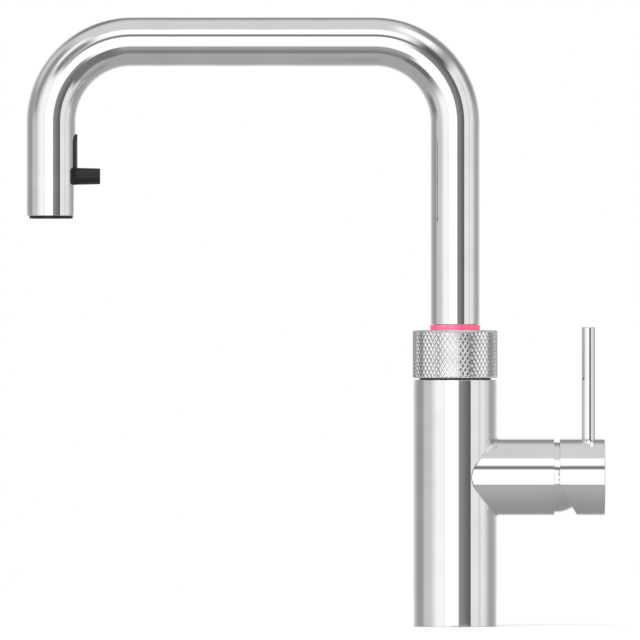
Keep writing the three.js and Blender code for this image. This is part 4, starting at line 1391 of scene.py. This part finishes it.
def studio_world():
    world = bpy.data.worlds.new("studio")
    world.use_nodes = True
    tree = world.node_tree
    tree.nodes.clear()
    way = directions(tree, node(tree, "TexCoord").outputs["Generated"])
    from_camera = calc(tree, "DEGREES", calc(tree, "ARCCOSINE", calc(tree, "MULTIPLY", way["Y"], -1)))
    around = calc(tree, "DEGREES", calc(tree, "ARCTAN2", way["Z"], way["X"]))

    def rise(value, middle, softness):
        return spread(tree, value, middle - softness, middle + softness, 0, 1, "SMOOTHSTEP")

    light = linear(ROOM_GREY)
    for middle, half_width, soft, near, far, near_soft, far_soft, grey in CARDS.values():
        aside = calc(tree, "WRAP", calc(tree, "SUBTRACT", around, middle), 180, -180)
        outside = rise(calc(tree, "ABSOLUTE", aside), half_width, soft)
        reached = rise(from_camera, near, near_soft)
        passed = rise(from_camera, far, far_soft)
        depth = calc(tree, "SUBTRACT", reached, passed)
        mask = calc(tree, "MULTIPLY", depth, calc(tree, "SUBTRACT", 1, outside))
        light = spread(tree, mask, 0, 1, light, linear(grey))
    path = node(tree, "LightPath").outputs
    plain = node(tree, "Background", {"Color": WHITE_LIGHT, "Strength": ROOM_LIGHT})
    cards = node(tree, "Background", {"Color": light})
    white = node(tree, "Background", {"Color": WHITE_LIGHT})
    seen = mixed(tree, mirror_rays(tree, path), plain, cards)
    final = mixed(tree, path["Is Camera Ray"], seen, white)
    node(tree, "OutputWorld", {"Surface": final.outputs[0]})
    bpy.context.scene.world = world


def stage_sheet(name, outline, height, finish):
    """A flat sheet of the studio."""
    sheet = Form()
    sheet.face([sheet.point((x, y, height)) for x, y in outline])
    thing = bare_mesh(name, sheet)
    thing.data.materials.append(finish.material)


def floor():
    """A wide white floor that keeps the tap's shadow and that polished metal doesn't mirror."""
    finish = Finish("studio_floor", Roughness=0.9, Metallic=0.0, Specular_IOR_Level=0.0)
    tree = finish.tree
    finish.tint(noise(tree, node(tree, "TexCoord").outputs["Object"], 4), *FLOOR_GREYS)
    path = node(tree, "LightPath").outputs
    glow = node(tree, "Emission", {"Strength": FLOOR_GLOW})
    lit = node(tree, "AddShader", {0: finish.shader.outputs[0], 1: glow.outputs[0]})
    seen = mixed(tree, path["Is Camera Ray"], finish.shader, lit)
    finish.shows(mixed(tree, mirror_rays(tree, path), seen, node(tree, "BsdfTransparent")))
    angles = [math.tau * k / FLOOR_SIDES for k in range(FLOOR_SIDES)]
    rim = [(FLOOR_RADIUS / MM * math.cos(a), FLOOR_RADIUS / MM * math.sin(a)) for a in angles]
    stage_sheet("studio_floor", rim, -FLOOR_DROP / MM, finish)


def table_card():
    finish = Finish("table_card")
    tree = finish.tree
    places = directions(tree, object_places(tree))
    levels = [linear(grey) for grey in TABLE_CARD_GREY]
    glow = node(tree, "Emission", {"Color": spread(tree, places["Y"], *TABLE_CARD_FADE, *levels)})
    mask = node(tree, "LightPath").outputs["Is Glossy Ray"]
    sides = (("X", TABLE_CARD_LEFT), ("X", TABLE_CARD_RIGHT), ("Y", TABLE_CARD_FAR))
    for direction, (clear_at, full_at) in sides:
        mask = calc(tree, "MULTIPLY", mask, spread(tree, places[direction], clear_at, full_at, 0, 1))
    finish.shows(mixed(tree, mask, node(tree, "BsdfTransparent"), glow))
    (left, right), (near, far) = TABLE_CARD_X, TABLE_CARD_Y
    corners = [(left, near), (right, near), (right, far), (left, far)]
    stage_sheet("table_card", corners, TABLE_CARD_HEIGHT, finish)


def soft_lamp():
    lamp = bpy.data.lights.new("overhead_softbox", "AREA")
    lamp.shape = "DISK"
    lamp.size = LAMP_SIZE
    lamp.energy = LAMP_POWER
    holder = in_scene("overhead_softbox", lamp)
    holder.location = LAMP_PLACE
    aim = Vector((CAMERA_SIDE, 0, CAMERA_HEIGHT)) - holder.location
    holder.rotation_euler = aim.to_track_quat("-Z", "Y").to_euler()
    holder.visible_glossy = False


def camera():
    lens = bpy.data.cameras.new("front_camera")
    lens.type = "PERSP"
    lens.lens = LENS
    lens.sensor_width = SENSOR
    lens.clip_end = CAMERA_RANGE
    holder = in_scene("front_camera", lens)
    holder.location = (CAMERA_SIDE, -CAMERA_DISTANCE, CAMERA_HEIGHT)
    holder.rotation_euler = (math.pi / 2, 0, 0)
    bpy.context.scene.camera = holder


studio_world()
floor()
table_card()
soft_lamp()
camera()
bpy.context.scene.view_settings.view_transform = "Standard"
